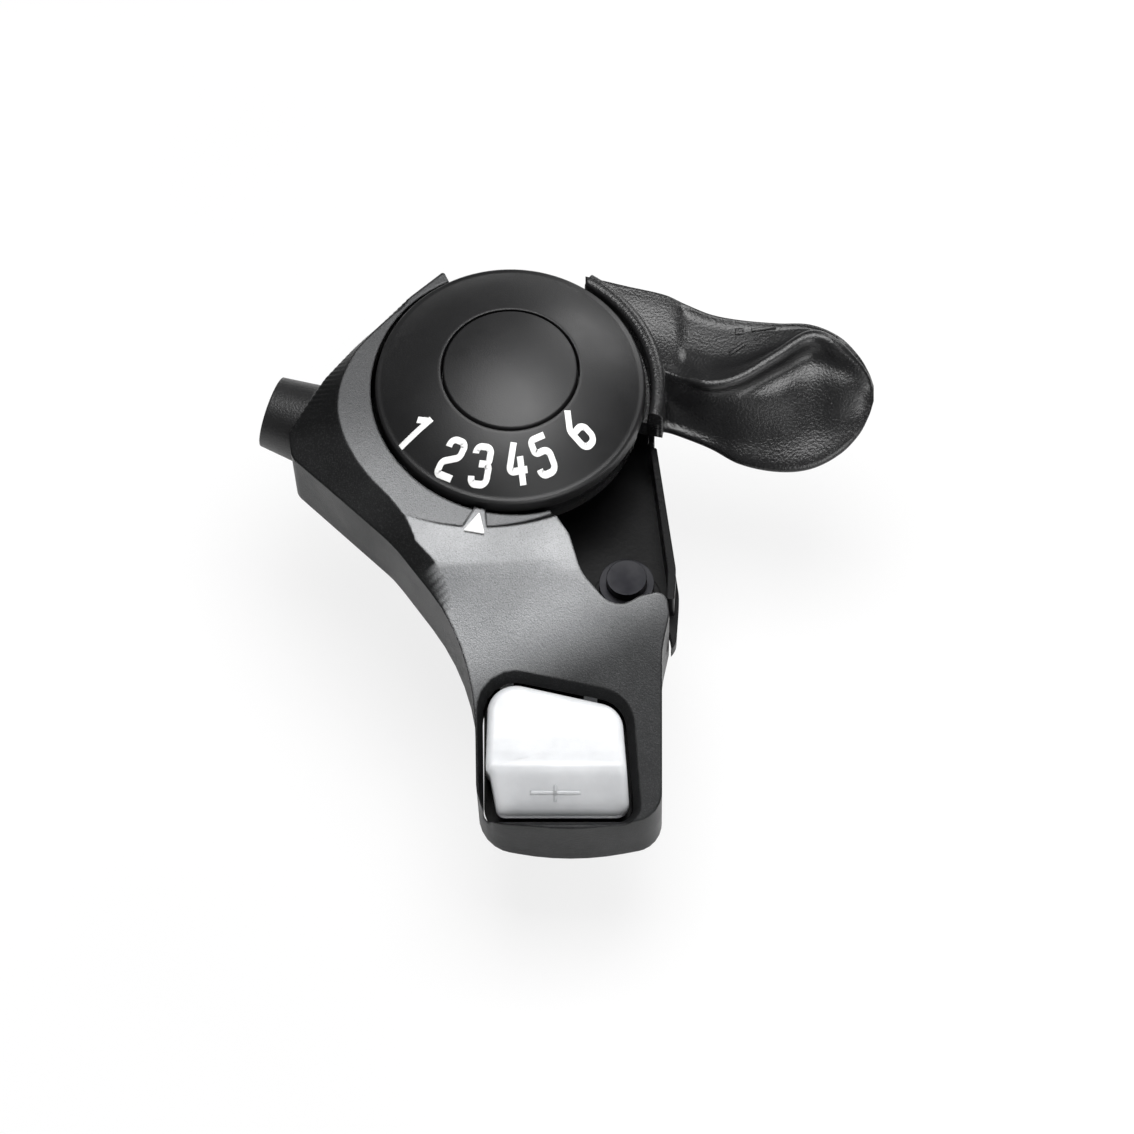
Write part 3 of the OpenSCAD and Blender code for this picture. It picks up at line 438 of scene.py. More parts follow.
print("finishes given to", len(FINISH_OF), "of", len(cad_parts), "nodes")

# %% [markdown]
# ## Surfaces from numbers
# New pieces are grids of points. A grid of rings becomes quads between neighbours, a ring
# that closes on itself joins its last point to its first, and a fan of triangles closes an
# end. The volume under all faces tells which way they point, and a negative one turns them.


# %% Helpers that turn grids into meshes
def quads_between(rows, others):
    """Quads between rows of closed rings of point numbers and the rows beside them."""
    corners = [rows, np.roll(rows, -1, axis=1), np.roll(others, -1, axis=1), others]
    return np.stack(corners, axis=-1).reshape(-1, 4)


def tube_part(rings):
    """Faces between closed rings [ring, point, xyz]; a fan to each end ring's centre closes it."""
    count, around = rings.shape[:2]
    index = np.arange(count * around).reshape(count, around)
    after = np.roll(index, -1, axis=1)
    first = np.full(around, count * around)
    faces = [
        quads_between(index[:-1], index[1:]),
        np.stack([index[0], first, after[0]], axis=-1),
        np.stack([index[-1], after[-1], first + 1], axis=-1),
    ]
    return np.concatenate([rings.reshape(-1, 3), rings[[0, -1]].mean(axis=1)]), faces


def ring_part(rings):
    """Faces of a grid [ring, point, xyz] that closes on itself both ways, with no ends."""
    index = np.arange(rings.shape[0] * rings.shape[1]).reshape(rings.shape[:2])
    return rings.reshape(-1, 3), [quads_between(index, np.roll(index, -1, axis=0))]


def volume_of(points, faces):
    """Signed volume under all faces, each split into triangles from its first corner."""
    total = 0.0
    for kind in faces:
        for k in range(1, kind.shape[1] - 1):
            a, b, c = points[kind[:, 0]], points[kind[:, k]], points[kind[:, k + 1]]
            total += np.einsum("ij,ij->i", a, np.cross(b, c)).sum() / 6
    return total


def points_of(mesh):
    """A mesh's points as an array [point, xyz]."""
    spots = np.empty(len(mesh.vertices) * 3)
    mesh.vertices.foreach_get("co", spots)
    return spots.reshape(-1, 3)


def build_piece(name, parts, finish, body, *, smooth=35.0, stands_for=()):
    """One object from closed parts in metres, turned outwards, shaded smooth below an angle."""
    all_points, all_faces, start = [], [], 0
    for points, faces in parts:
        outward = volume_of(points, faces) > 0
        all_points.append(points)
        all_faces += [row for kind in faces for row in (kind if outward else kind[:, ::-1]) + start]
        start += len(points)
    mesh = bpy.data.meshes.new(name)
    mesh.from_pydata(np.concatenate(all_points).tolist(), [], [row.tolist() for row in all_faces])
    place_piece(name, mesh, finish, body, smooth, stands_for)


def place_piece(name, mesh, finish, body, smooth, stands_for):
    """Puts a mesh on a body with its finish, shades it smooth, hides what it stands for, and prints
    its size.
    """
    mesh.update()
    mesh.polygons.foreach_set("use_smooth", np.ones(len(mesh.polygons), dtype=bool))
    mesh.set_sharp_from_angle(angle=math.radians(smooth))
    mesh.materials.append(finish)
    piece = bpy.data.objects.new(name, mesh)
    scene.collection.objects.link(piece)
    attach(piece, body)
    if stands_for:
        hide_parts(*stands_for)
    size = np.ptp(points_of(mesh), axis=0) / MM
    print(f"{name}: {len(mesh.polygons)} faces, {size.round(1)} mm")


print("mesh helpers ready")

# %% [markdown]
# ## The cover as one skin
# The cover's shape comes exactly from the frame, but its mesh is loose triangles, which
# shade as flat chips. A copy whose doubled points are merged shades smoothly over the round
# parts and keeps crisp edges where faces meet at an angle.


# %% Smooth copies of frame parts
MERGE_WITHIN = 0.001 * MM
SKIN_SMOOTH = 16.0


def merged_copy(node_name):
    """A node's triangles with points merged at a thousandth of a millimetre, as a new mesh."""
    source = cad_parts[node_name].data
    spots = points_of(source)
    cells = np.round(spots / MERGE_WITHIN).astype(np.int64)
    _, first, which = np.unique(cells, axis=0, return_index=True, return_inverse=True)
    corners = np.empty(len(source.loops), dtype=np.int64)
    source.loops.foreach_get("vertex_index", corners)
    faces = which.reshape(-1)[corners].reshape(-1, 3)
    distinct = (faces != np.roll(faces, 1, axis=1)).all(axis=1)
    mesh = bpy.data.meshes.new(node_name + "_skin")
    mesh.from_pydata(spots[first].tolist(), [], faces[distinct].tolist())
    return mesh


SKIN_SLOT = {"top_cover": "cover_grey", "lower_cover": "base_black", "base_bracket": "base_black"}
for node_name, slot_name in SKIN_SLOT.items():
    place_piece(node_name + "_skin", merged_copy(node_name), FINISH_OF[node_name], "housing",
                SKIN_SMOOTH, (node_name,))

# %% [markdown]
# ## Heights over the dial
# The dial is part of a ball: its height over a distance from the axis is the ball's own.
# The numbers and the cap use the same function, so they lie on the same curve.

# %% The dial's curve
# The axis in plan, then heights and radii, all in millimetres
AXIS = np.array([-12.3, 8.5])
RIM_Z = 24.5
DIAL_Z = 23.3
DOME_Z = RIM_Z + 0.8
DOME_H = 5.2
DIAL_R, EDGE_R = 16.2, 15.7
CAP_R = 8.1
BALL_R = (EDGE_R ** 2 + DOME_H ** 2) / (2 * DOME_H)


def dome_height(radius):
    """Height of the ball's surface over the rim plane at a distance from the axis, in mm."""
    return DOME_Z + np.sqrt(BALL_R ** 2 - radius ** 2) - BALL_R + DOME_H


def spun(profile, around=192, turn=360.0, start=0.0):
    """Rings [angle, point, xyz] of a closed profile of [radius, height] turned about the axis."""
    steps = around if turn == 360.0 else around - 1
    angles = np.radians(start + turn * np.arange(around) / steps)
    radius, height = profile[:, 0], profile[:, 1]
    x = AXIS[0] + np.outer(np.cos(angles), radius)
    y = AXIS[1] + np.outer(np.sin(angles), radius)
    z = np.broadcast_to(height, x.shape)
    return np.stack([x, y, z], axis=-1) * MM


print("ball radius", round(BALL_R, 2), "mm, top at", round(float(dome_height(0)), 2), "mm")

# %% [markdown]
# ## Dial and cap
# The dial is a thin moulded dome with a short skirt. Its edge is softened, and a fine groove
# parts it from the round cap in its middle. Both are profiles turned about the axis.

# %% Dial and cap
# A wall 1.5 mm thick, and a groove from the cap's edge to the dial's lip
WALL = 1.5
CAP_EDGE, DIAL_LIP = CAP_R - 0.08, CAP_R + 0.22
GROOVE_TOP = float(dome_height(CAP_R))
SEAT_R, BORE_R, SEAT_TOP = 6.4, 3.05, DIAL_Z + 1.2
outer_r = np.linspace(DIAL_LIP + 0.12, EDGE_R - 0.12, 26)
turns = np.radians(np.linspace(62, 4, 7))
soft_edge = [EDGE_R - 0.15, DOME_Z - 0.46] + 0.6 * np.stack([np.cos(turns), np.sin(turns)], axis=-1)
inner_r = np.linspace(EDGE_R - WALL, CAP_R + WALL, 20)
dial_profile = np.concatenate([
    np.stack([outer_r, dome_height(outer_r)], axis=-1),
    soft_edge,
    [[DIAL_R, DOME_Z - 0.8], [DIAL_R, DIAL_Z + 0.15], [DIAL_R - 0.15, DIAL_Z],
     [DIAL_R - WALL, DIAL_Z]],
    np.stack([inner_r, dome_height(inner_r) - WALL], axis=-1),
    [[CAP_R + WALL, SEAT_TOP], [SEAT_R, SEAT_TOP], [SEAT_R, DIAL_Z], [BORE_R, DIAL_Z],
     [BORE_R, DIAL_Z + 2.2], [DIAL_LIP, DIAL_Z + 2.2], [DIAL_LIP, GROOVE_TOP - 0.14]],
])
build_piece("dial_dome", [ring_part(spun(dial_profile))], dial_finish, "spool",
            stands_for=("dial",))

CAP_HOLE, CAP_Z = 0.02, DIAL_Z + 2.25
cap_r = np.linspace(CAP_HOLE, CAP_EDGE - 0.12, 16)
cap_profile = np.concatenate([
    np.stack([cap_r, dome_height(cap_r)], axis=-1),
    [[CAP_EDGE, GROOVE_TOP - 0.12], [CAP_EDGE, CAP_Z], [CAP_R - WALL, CAP_Z],
     [CAP_R - WALL, DIAL_Z + 4], [CAP_HOLE, DIAL_Z + 4]],
])
build_piece("dial_cap_disc", [ring_part(spun(cap_profile, 128))], dial_finish, "spool",
            stands_for=("dial_cap",))

# %% [markdown]
# ## Numbers on the dial
# Each number is one or two strokes of even width, bent round soft corners. A stroke is a
# path of points; a low, bevelled cross section is carried along it and then laid on the
# dome, with the foot of each number to the rim.


# %% Strokes
def corner_arc(a, p, b, steps):
    """The arc that rounds corner p = [x, y, radius] on the way from a to b."""
    radius, p = p[2], p[:2]
    u, v = (a[:2] - p) / np.linalg.norm(a[:2] - p), (b[:2] - p) / np.linalg.norm(b[:2] - p)
    half = math.acos(float(np.clip(u @ v, -1, 1))) / 2
    reach = radius / math.tan(half)
    centre = p + (u + v) / np.linalg.norm(u + v) * radius / math.sin(half)
    share = np.linspace(0, 1, steps)[:, None]
    chord = (p + u * reach) * (1 - share) + (p + v * reach) * share - centre
    return centre + chord / np.linalg.norm(chord, axis=1, keepdims=True) * radius


def measured(points):
    """A line's points without doubled ones, and how far along it each one lies."""
    gaps = np.linalg.norm(np.diff(points, axis=0), axis=1)
    apart = gaps > 1e-6
    return points[np.concatenate([[True], apart])], np.concatenate([[0], np.cumsum(gaps[apart])])


def at_places(points, length, places):
    """Points [x, y] at distances along a measured line."""
    return np.stack([np.interp(places, length, points[:, k]) for k in (0, 1)], axis=-1)


def soft_path(corners, step=0.12):
    """A polyline through corners [x, y, radius], each rounded by an arc, finely stepped."""
    corners = np.asarray(corners, dtype=float)
    arcs = [corner_arc(*three, 9) for three in zip(corners[:-2], corners[1:-1], corners[2:])]
    points, length = measured(np.concatenate([corners[:1, :2], *arcs, corners[-1:, :2]]))
    places = np.unique(np.concatenate([length, np.arange(0, length[-1], step)]))
    return at_places(points, length, places)


STROKE_ROOT = -0.15


def stroke_rings(path, width, rise):
    """Rings of a low bevelled section carried along a path: [step, corner, (x, y, height)]."""
    along = np.concatenate([path[1:], path[-1:]]) - np.concatenate([path[:1], path[:-1]])
    along /= np.linalg.norm(along, axis=1, keepdims=True)
    side = np.stack([-along[:, 1], along[:, 0]], axis=-1)
    half, bevel = 0.5 * width, min(0.05, rise * 0.6)
    section = np.array([
        [-half, STROKE_ROOT], [-half, rise - bevel], [bevel - half, rise],
        [half - bevel, rise], [half, rise - bevel], [half, STROKE_ROOT],
    ])
    flat = path[:, None, :] + side[:, None, :] * section[None, :, :1]
    height = np.broadcast_to(section[None, :, 1:], flat.shape[:2] + (1,))
    return np.concatenate([flat, height], axis=-1)


print("strokes ready")

# %% Numbers
# Strokes of each number in a cell 3 wide and 5 tall, as [x, y, corner radius]
NUMBER_STROKES = {
    1: [[[0.35, 2.5, 0], [0.35, -2.5, 0]], [[-1.1, 1.2, 0], [0.4, 2.15, 0]]],
    2: [[[-1.15, 1.1, 0], [-1.15, 2.15, 0.75], [1.15, 2.15, 0.75], [1.15, 0.35, 0.8],
         [-1.15, -0.75, 0.7], [-1.15, -2.15, 0.45], [1.4, -2.15, 0]]],
    3: [[[-1.15, 1.3, 0], [-1.15, 2.15, 0.7], [1.1, 2.15, 0.75], [1.1, 0.15, 0.55],
         [-0.35, 0.15, 0]],
        [[-0.35, 0.15, 0], [1.2, 0.15, 0.6], [1.2, -2.15, 0.75], [-1.2, -2.15, 0.7],
         [-1.2, -1.3, 0]]],
    4: [[[0.0, 2.5, 0], [-1.25, -0.85, 0.5], [1.6, -0.85, 0]], [[0.7, 0.75, 0], [0.7, -2.5, 0]]],
    5: [[[1.3, 2.15, 0], [-1.05, 2.15, 0.5], [-1.05, 0.45, 0.5], [1.15, 0.45, 0.8],
         [1.15, -2.15, 0.8], [-1.2, -2.15, 0.7], [-1.2, -1.35, 0]]],
    6: [[[0.9, 2.5, 0], [-1.15, 0.6, 1.0], [-1.15, -2.15, 0.85], [1.15, -2.15, 0.85],
         [1.15, 0.1, 0.8], [-0.95, 0.1, 0]]],
}
# Where each number stands, about the middle of their own circle beside the dial's axis
NUMBER_RING = np.array([-1.5, 0.2])
NUMBER_R = 12.4
NUMBER_ANGLES = {1: -143.6, 2: -116.3, 3: -99.0, 4: -79.6, 5: -64.1, 6: -39.1}
NUMBER_SCALE = np.array([0.78, 0.93, 0.9])
NUMBER_SLANT = 0.05
STROKE_W = 0.76
# The film of ink, and how much higher a second stroke lies where it crosses the first
INK_RISE, OVERLAP_RISE = 0.05, 0.004


def lay_on_dial(rings, angle):
    """Turns a number's cell to its angle, moves it to its ring and drops it on the dome."""
    turn = math.radians(angle)
    outward = np.array([math.cos(turn), math.sin(turn)])
    sideways = np.array([-math.sin(turn), math.cos(turn)])
    slant = rings[..., 0] + NUMBER_SLANT * rings[..., 1]
    plan = NUMBER_RING + outward * (NUMBER_R - rings[..., 1:2]) + sideways * slant[..., None]
    height = dome_height(np.linalg.norm(plan, axis=-1)) + rings[..., 2]
    return np.concatenate([plan + AXIS, height[..., None]], axis=-1) * MM


for number, strokes in NUMBER_STROKES.items():
    parts = []
    for level, corners in enumerate(strokes):
        path = soft_path(np.array(corners) * NUMBER_SCALE)
        rings = stroke_rings(path, STROKE_W, INK_RISE + OVERLAP_RISE * level)
        parts.append(tube_part(lay_on_dial(rings, NUMBER_ANGLES[number])))
    build_piece(f"number_{number}", parts, ink_finish, "spool", smooth=50.0)

# %% [markdown]
# ## The pointer
# A small white triangle marks the gear that is set. It lies on the raised wedge of the
# cover, so its points are given in the plane of the cover's top.

# %% Pointer
POINTER_CORNERS = [[-3.64, -16.85, 0.09], [-5.55, -19.3, 0.09], [-3.05, -19.75, 0.09]]


def rounded_loop(corners, steps):
    """A closed outline through corners [x, y, radius], each rounded by an arc."""
    corners = np.asarray(corners, dtype=float)
    before, after = np.roll(corners, 1, axis=0), np.roll(corners, -1, axis=0)
    return np.concatenate([corner_arc(*three, steps) for three in zip(before, corners, after)])


def levels_of(outlines, heights):
    """Rings [level, point, xyz] of flat outlines at their heights."""
    return np.stack([
        np.column_stack([ring, np.full(len(ring), height)])
        for ring, height in zip(outlines, heights)
    ])


triangle = rounded_loop(POINTER_CORNERS, 5) + AXIS
middle = triangle.mean(axis=0)
# The upper edge is taken off by 0.03 mm
smaller = middle + (triangle - middle) * 0.9625
plate = levels_of((triangle, triangle, smaller), (RIM_Z - 0.2, RIM_Z + 0.02, RIM_Z + 0.05))
build_piece("pointer_mark", [tube_part(plate * MM)], ink_finish, "housing",
            smooth=50.0)

# %% [markdown]
# ## The thumb lever
# A flat hub turns under the dial, a collar hugs the dial's side, and a long pad reaches out
# to the thumb. The pad has no straight line in it, so it is a loft: a table of sections at
# twelve distances, a smooth curve through each section's points, and smooth values between
# the sections. The root follows the round well, so the lever can turn beside the dial.

# %% The lever's table
# x, upper back edge y z, crest y z, hollow y z, brow y z, lower front edge y, bottom z
LEVER_ROWS = np.array([
    [9, 16.2, -0.9, 6, -1.2, 5, -2.6, 4, -5, 2, -8.4],
    [14, 15, -1.2, 4.6, -1.4, 3.6, -2.8, 2.4, -5, -1.2, -8.4],
    [18.6, 13.9, -1.4, 3.3, -1.4, 2.3, -2.8, 1.2, -5, -1.6, -8.5],
    [21, 12.8, -1.7, 2.2, -1.3, 1.2, -2.7, 0.4, -5, -2.4, -8.6],
    [24, 11.4, -1.7, 1.2, -1.1, 0.4, -2.5, -0.5, -4.8, -3.7, -8.8],
    [27.4, 10.5, -1.5, 1.7, -0.6, 0.7, -2, -0.3, -3.6, -5.6, -9],
    [32, 9.8, -1.2, 4.2, 0.2, 2.9, -1.6, 0.6, -3, -6.6, -9.1],
    [36, 9.3, -0.8, 6.5, 0.6, 4.8, -1.2, 2.2, -2.6, -6.3, -8.9],
    [39.5, 7.5, -0.7, 5.3, 0.3, 3.6, -1.1, 1.6, -2.3, -4.8, -8],
    [41.8, 5.2, -1.4, 3.8, -0.8, 2.6, -1.7, 1, -2.8, -2.8, -6.6],
    [43, 3.4, -2.4, 2.6, -2, 1.9, -2.4, 1.1, -3.2, -0.8, -5.2],
    [43.5, 2.2, -3.2, 1.9, -3.1, 1.6, -3.2, 1.3, -3.5, 0.6, -4.2],
])


def smooth_rows(rows, x):
    """Values between the rows: a cubic from row to row whose slopes come from the neighbours."""
    places, last = rows[:, 0], len(rows) - 1
    i = np.clip(np.searchsorted(places, x, side="right") - 1, 0, last - 1)
    before, after = (np.clip(np.arange(last + 1) + k, 0, last) for k in (-1, 1))
    slopes = (rows[after, 1:] - rows[before, 1:]) / (places[after] - places[before])[:, None]
    w = (places[i + 1] - places[i])[..., None]
    t = (x - places[i])[..., None] / w
    a, b, sa, sb = rows[i, 1:], rows[i + 1, 1:], slopes[i], slopes[i + 1]
    return ((2 * t**3 - 3 * t**2 + 1) * a + (t**3 - 2 * t**2 + t) * w * sa
            + (3 * t**2 - 2 * t**3) * b + (t**3 - t**2) * w * sb)


def lever_section(x):
    """The fourteen corners [x place, corner, (y, z)] of the pad's section at distances x."""
    v = smooth_rows(LEVER_ROWS, x)
    back, crest, hollow, brow = v[..., 0:2], v[..., 2:4], v[..., 4:6], v[..., 6:8]
    front, low = v[..., 8], v[..., 9]
    deep = (back[..., 1] - low) / 8

    def spot(y, z):
        return np.stack([y, z], axis=-1)

    def between(a, b, t):
        return a + (b - a) * t

    return np.stack([
        spot(back[..., 0] - 0.9 * deep, low + 1.1 * deep),
        spot(back[..., 0] + 0.1 * deep, between(low, back[..., 1], 0.5)),
        back - deep[..., None] * [0.1, 0.35],
        between(back, crest, 0.12) + deep[..., None] * [0, 0.12],
        between(back, crest, 0.6) - deep[..., None] * [0, 0.3],
        crest + deep[..., None] * [0.6, -0.12],
        crest - deep[..., None] * [0.35, 0.15],
        hollow,
        brow,
        spot(between(brow[..., 0], front, 0.55), between(brow[..., 1], low, 0.45)),
        spot(front, low + 1.5 * deep),
        spot(front + 0.7 * deep, low + 0.35 * deep),
        spot(between(front, back[..., 0], 0.35), low),
        spot(between(front, back[..., 0], 0.7), low),
    ], axis=-2)


def loop_between(corners, steps):
    """A smooth closed curve through corners: each stretch is a cubic led by its neighbours."""
    a, b = np.roll(corners, 1, axis=-2), corners
    c, d = np.roll(corners, -1, axis=-2), np.roll(corners, -2, axis=-2)
    t = (np.arange(steps) / steps)[:, None]
    a, b, c, d = (k[..., None, :] for k in (a, b, c, d))
    curve = b + 0.5 * t * (c - a + t * (2 * a - 5 * b + 4 * c - d + t * (3 * (b - c) + d - a)))
    return curve.reshape(*corners.shape[:-2], -1, 2)


# %% The lever's root
SECTION_CORNERS, STEPS_BETWEEN, ROOT_PASSES = 14, 12, 6
WELL_R, ROOT_GAP = 16.7, 0.5
columns = np.arange(SECTION_CORNERS * STEPS_BETWEEN)
start_x = np.full(len(columns), LEVER_ROWS[0, 0])
for _ in range(ROOT_PASSES):
    # The distance at which each line of the loft meets the round of the well
    root = loop_between(lever_section(start_x), STEPS_BETWEEN)[columns, columns, 0]
    start_x = np.sqrt(np.clip((WELL_R + ROOT_GAP) ** 2 - root ** 2, LEVER_ROWS[0, 0] ** 2, None))
pad_length = LEVER_ROWS[-1, 0] - start_x
print("lever root starts between", start_x.min().round(1), "and", start_x.max().round(1), "mm")

# %% The lever's pad
PAD_ROWS = 150
lever_u = np.sin(np.linspace(0, math.pi / 2, PAD_ROWS))
x_grid = start_x + pad_length * lever_u[:, None]
pad_yz = np.stack(
    [loop_between(lever_section(x_grid[:, k]), STEPS_BETWEEN)[:, k] for k in columns], axis=1
)
pad = np.concatenate([x_grid[..., None], pad_yz], axis=-1)
# Where each column lies between the section's corners, from 0 to 14
corner_of = columns / STEPS_BETWEEN
print("pad grid", pad.shape)


# %% The pad's relief
def smooth_step(value, low, high):
    """0 below low, 1 above high, an S curve between."""
    t = np.clip((value - low) / (high - low), 0, 1)
    return t * t * (3 - 2 * t)


def bump_at(value, middle, spread):
    """A bell that is 1 at the middle and falls off within the spread."""
    return np.exp(-((value - middle) / spread) ** 2)


# Relief along the skin's own normal: a shallow panel for the thumb, the rolled crest in
# front of it, the hollow under the crest and the faint second ridge below the hollow
outward = np.cross(np.roll(pad, -1, axis=1) - np.roll(pad, 1, axis=1), np.gradient(pad, axis=0))
outward /= np.maximum(np.linalg.norm(outward, axis=-1, keepdims=True), 1e-9)
# Corner 4 is on the upper side, so halfway along its line the normal has to look up
outward *= np.sign(outward[PAD_ROWS // 2, 4 * STEPS_BETWEEN, 2])
along = smooth_step(x_grid, 19.6, 23.5) * (1 - smooth_step(x_grid, 37.5, 42.0))
panel_far = smooth_step(x_grid, 20.1, 20.8) * (1 - smooth_step(x_grid, 38.0, 41.5))
over_top = smooth_step(corner_of, 2.6, 3.2) * (1 - smooth_step(corner_of, 3.9, 4.7))
crest, hollow = 0.75 * bump_at(corner_of, 5.3, 0.9), -0.3 * bump_at(corner_of, 7.0, 0.8)
second = 0.2 * bump_at(corner_of, 8.0, 0.6) * (1 - smooth_step(x_grid, 30, 36))
relief = (crest + hollow + second) * along - 0.45 * over_top * panel_far
pad = pad + relief[..., None] * outward + [*AXIS, RIM_Z]
print("relief from", relief.min().round(2), "to", relief.max().round(2), "mm")

# %% The whole lever
HUB_Z, HUB_TOP, HUB_R, BORE, SOFT = 19.3, 22.9, 15.6, 5.05, 0.2
POCKET_IN, POCKET_OUT, POCKET_Z = 6.2, 9.4, HUB_Z + 1.7
hub_profile = np.array([
    [BORE, HUB_Z], [HUB_R - SOFT, HUB_Z], [HUB_R, HUB_Z + SOFT], [HUB_R, HUB_TOP - SOFT],
    [HUB_R - SOFT, HUB_TOP], [POCKET_OUT, HUB_TOP], [POCKET_OUT, POCKET_Z],
    [POCKET_IN, POCKET_Z], [POCKET_IN, HUB_TOP], [BORE, HUB_TOP],
])
FOOT = HUB_Z + 0.1
web_profile = np.array([[15.0, FOOT], [18.0, FOOT], [18.0, HUB_TOP - 0.6], [15.0, HUB_TOP - 0.6]])
collar_profile = np.array([
    [16.8, FOOT], [18.6, FOOT], [18.6, RIM_Z - 0.3], [18.5, RIM_Z], [18.25, RIM_Z + 0.25],
    [17.9, RIM_Z + 0.38], [17.5, RIM_Z + 0.4], [17.1, RIM_Z + 0.32], [16.88, RIM_Z + 0.12],
    [16.8, RIM_Z - 0.2],
])
beside_dial = {"around": 60, "turn": 70.0, "start": -12.0}
lever_parts = [
    tube_part(pad * MM),
    ring_part(spun(hub_profile, 128)),
    tube_part(spun(web_profile, **beside_dial)),
    tube_part(spun(collar_profile, **beside_dial)),
]
build_piece("thumb_lever_skin", lever_parts, lever_finish, "lever", smooth=55.0,
            stands_for=("thumb_lever",))

# %% [markdown]
# ## Grip marks on the lever
# Three small raised marks stand on the thumb rest: a block and two dashes. Each is a plate
# laid over the pad. The height under each point comes from the nearest point of the pad's
# own grid and the slope there.

# %% Grip marks
TOP_CORNERS = (2.2, 6.2)
MARK_RISE, MARK_POINTS = 0.2, 12
pad_top = pad[:, (corner_of > TOP_CORNERS[0]) & (corner_of < TOP_CORNERS[1])]
flat_points = pad_top.reshape(-1, 3)
flat_normals = np.cross(*np.gradient(pad_top, axis=(0, 1))).reshape(-1, 3)


def height_on_pad(plan):
    """z of the pad's upper side at plan points [.., x y]: the nearest grid point and its slope."""
    shape = plan.shape[:-1]
    plan = plan.reshape(-1, 2)
    gap = np.linalg.norm(plan[:, None, :] - flat_points[None, :, :2], axis=-1)
    near = gap.argmin(axis=1)
    spot, lean = flat_points[near], flat_normals[near]
    step = ((plan - spot[:, :2]) * lean[:, :2]).sum(axis=1) / lean[:, 2]
    return (spot[:, 2] - step).reshape(shape)


def turned(pairs, angle):
    """Pairs of coordinates turned by an angle."""
    c, s = math.cos(angle), math.sin(angle)
    a, b = pairs[..., 0], pairs[..., 1]
    return np.stack([a * c - b * s, a * s + b * c], axis=-1)


def grip_mark(name, centre, length, width, turn):
    """A low bar laid on the pad, turned by degrees."""
    path = np.linspace((-length / 2, 0), (length / 2, 0), MARK_POINTS)
    rings = stroke_rings(path, width, MARK_RISE)
    plan = turned(rings[..., :2], math.radians(turn)) + centre + AXIS
    height = height_on_pad(plan) + rings[..., 2]
    rings = np.concatenate([plan, height[..., None]], axis=-1)
    build_piece(name, [tube_part(rings * MM)], lever_finish, "lever", smooth=40.0)


grip_mark("grip_block", (27.4, 8.8), 1.0, 0.8, 0)
grip_mark("grip_dash_back", (30.3, 9.0), 2.9, 0.42, 4)
grip_mark("grip_dash_front", (27.1, 6.4), 2.1, 0.42, 35)

# %% [markdown]
# ## The release button
# The thumb's tip pulls on a cross ridge, so the button has a hollow face, a ridge and a
# steep front. Seen from above it is an outline with round corners; its height is one side
# line along the arm. The rim is rounded over by shrinking the outline along a quarter circle.

# %% The arm's own frame
BEND_Y, ARM_TILT = 20.0, math.radians(20)


def from_slope(points, tilt, level):
    """Points of a plane that slopes down from the arm's bend at a level, in metres."""
    yz = turned(points[..., 1:], tilt) + [AXIS[1] - BEND_Y, level]
    return np.concatenate([points[..., :1] + AXIS[0], yz], axis=-1) * MM


def from_arm(points):
    """Points in the arm's frame, whose face is z = 0, in the frame's metres."""
    return from_slope(points, ARM_TILT, RIM_Z)


# The button's side line: distance along the arm, height over its face
BUTTON_SIDE = np.array([
    [-34.4, -3.6], [-33.7, -2.5], [-32.6, -1.1], [-31.2, 0.25], [-30.0, 1.45], [-29.1, 2.25],
    [-28.5, 2.56], [-27.9, 2.56], [-27.3, 2.3], [-26.4, 1.85], [-24.6, 1.15], [-22.6, 0.65],
    [-20.4, 0.38], [-18.6, 0.2], [-17.2, -0.2], [-16.0, -0.6],
])
OUTLINE_POINTS = 240


def button_height(y):
    """The side line's height, smoothed by averaging it over a third of a millimetre each way."""
    spread = np.linspace(-0.35, 0.35, 9)
    return np.mean([np.interp(y + k, BUTTON_SIDE[:, 0], BUTTON_SIDE[:, 1]) for k in spread], axis=0)


def outline_with_radii(corners):
    """A closed outline through corners [x, y, radius], evenly spaced along its length."""
    loop = rounded_loop(corners, 10)
    points, length = measured(np.concatenate([loop, loop[:1]]))
    return at_places(points, length, np.linspace(0, length[-1], OUTLINE_POINTS, endpoint=False))


def inset(outline, amount):
    """The outline moved inwards along its own normals."""
    along = np.roll(outline, -1, axis=0) - np.roll(outline, 1, axis=0)
    along /= np.linalg.norm(along, axis=1, keepdims=True)
    return outline + amount * np.stack([-along[:, 1], along[:, 0]], axis=-1)


print("ridge of the button at", button_height(np.array([-28.2])).round(2), "mm")

# %% The button's body
BUTTON_CORNERS = [
    [-2.6, -17.2, 3.4], [-2.9, -28.5, 0.8], [-2.4, -29.1, 0.8], [-1.5, -33.7, 1.1],
    [14.3, -33.7, 1.6], [13.3, -20.8, 3.2],
]
FILLET, FILLET_STEPS, FACE_RINGS = 0.95, 10, 60
FACE_CENTRE = np.array([5.7, -26.0])
button_outline = outline_with_radii(BUTTON_CORNERS)

# The underside slopes, so that the button can turn down over the lower cover
underside = -3.2 - 3.1 * (button_outline[:, 1] + 33.7) / 16.5
rings = [np.column_stack([button_outline, underside + rise]) for rise in (0, 0.5)]
for turn in np.radians(np.linspace(0, 90, FILLET_STEPS)):
    loop = inset(button_outline, FILLET * (1 - math.cos(turn)))
    drop = FILLET * (1 - math.sin(turn))
    # Each ring stays a little over the one before, also where the side is low
    height = np.maximum(button_height(loop[:, 1]) - drop, underside + 0.55 + 0.01 * len(rings))
    rings.append(np.column_stack([loop, height]))
rim_loop = rings[-1][:, :2]
for share in np.linspace(0.03, 1, FACE_RINGS)[:-1] ** 0.9:
    loop = rim_loop + (FACE_CENTRE - rim_loop) * share
    rings.append(np.column_stack([loop, button_height(loop[:, 1])]))
button_parts = [tube_part(from_arm(np.stack(rings)))]
print("button body of", len(rings), "rings")


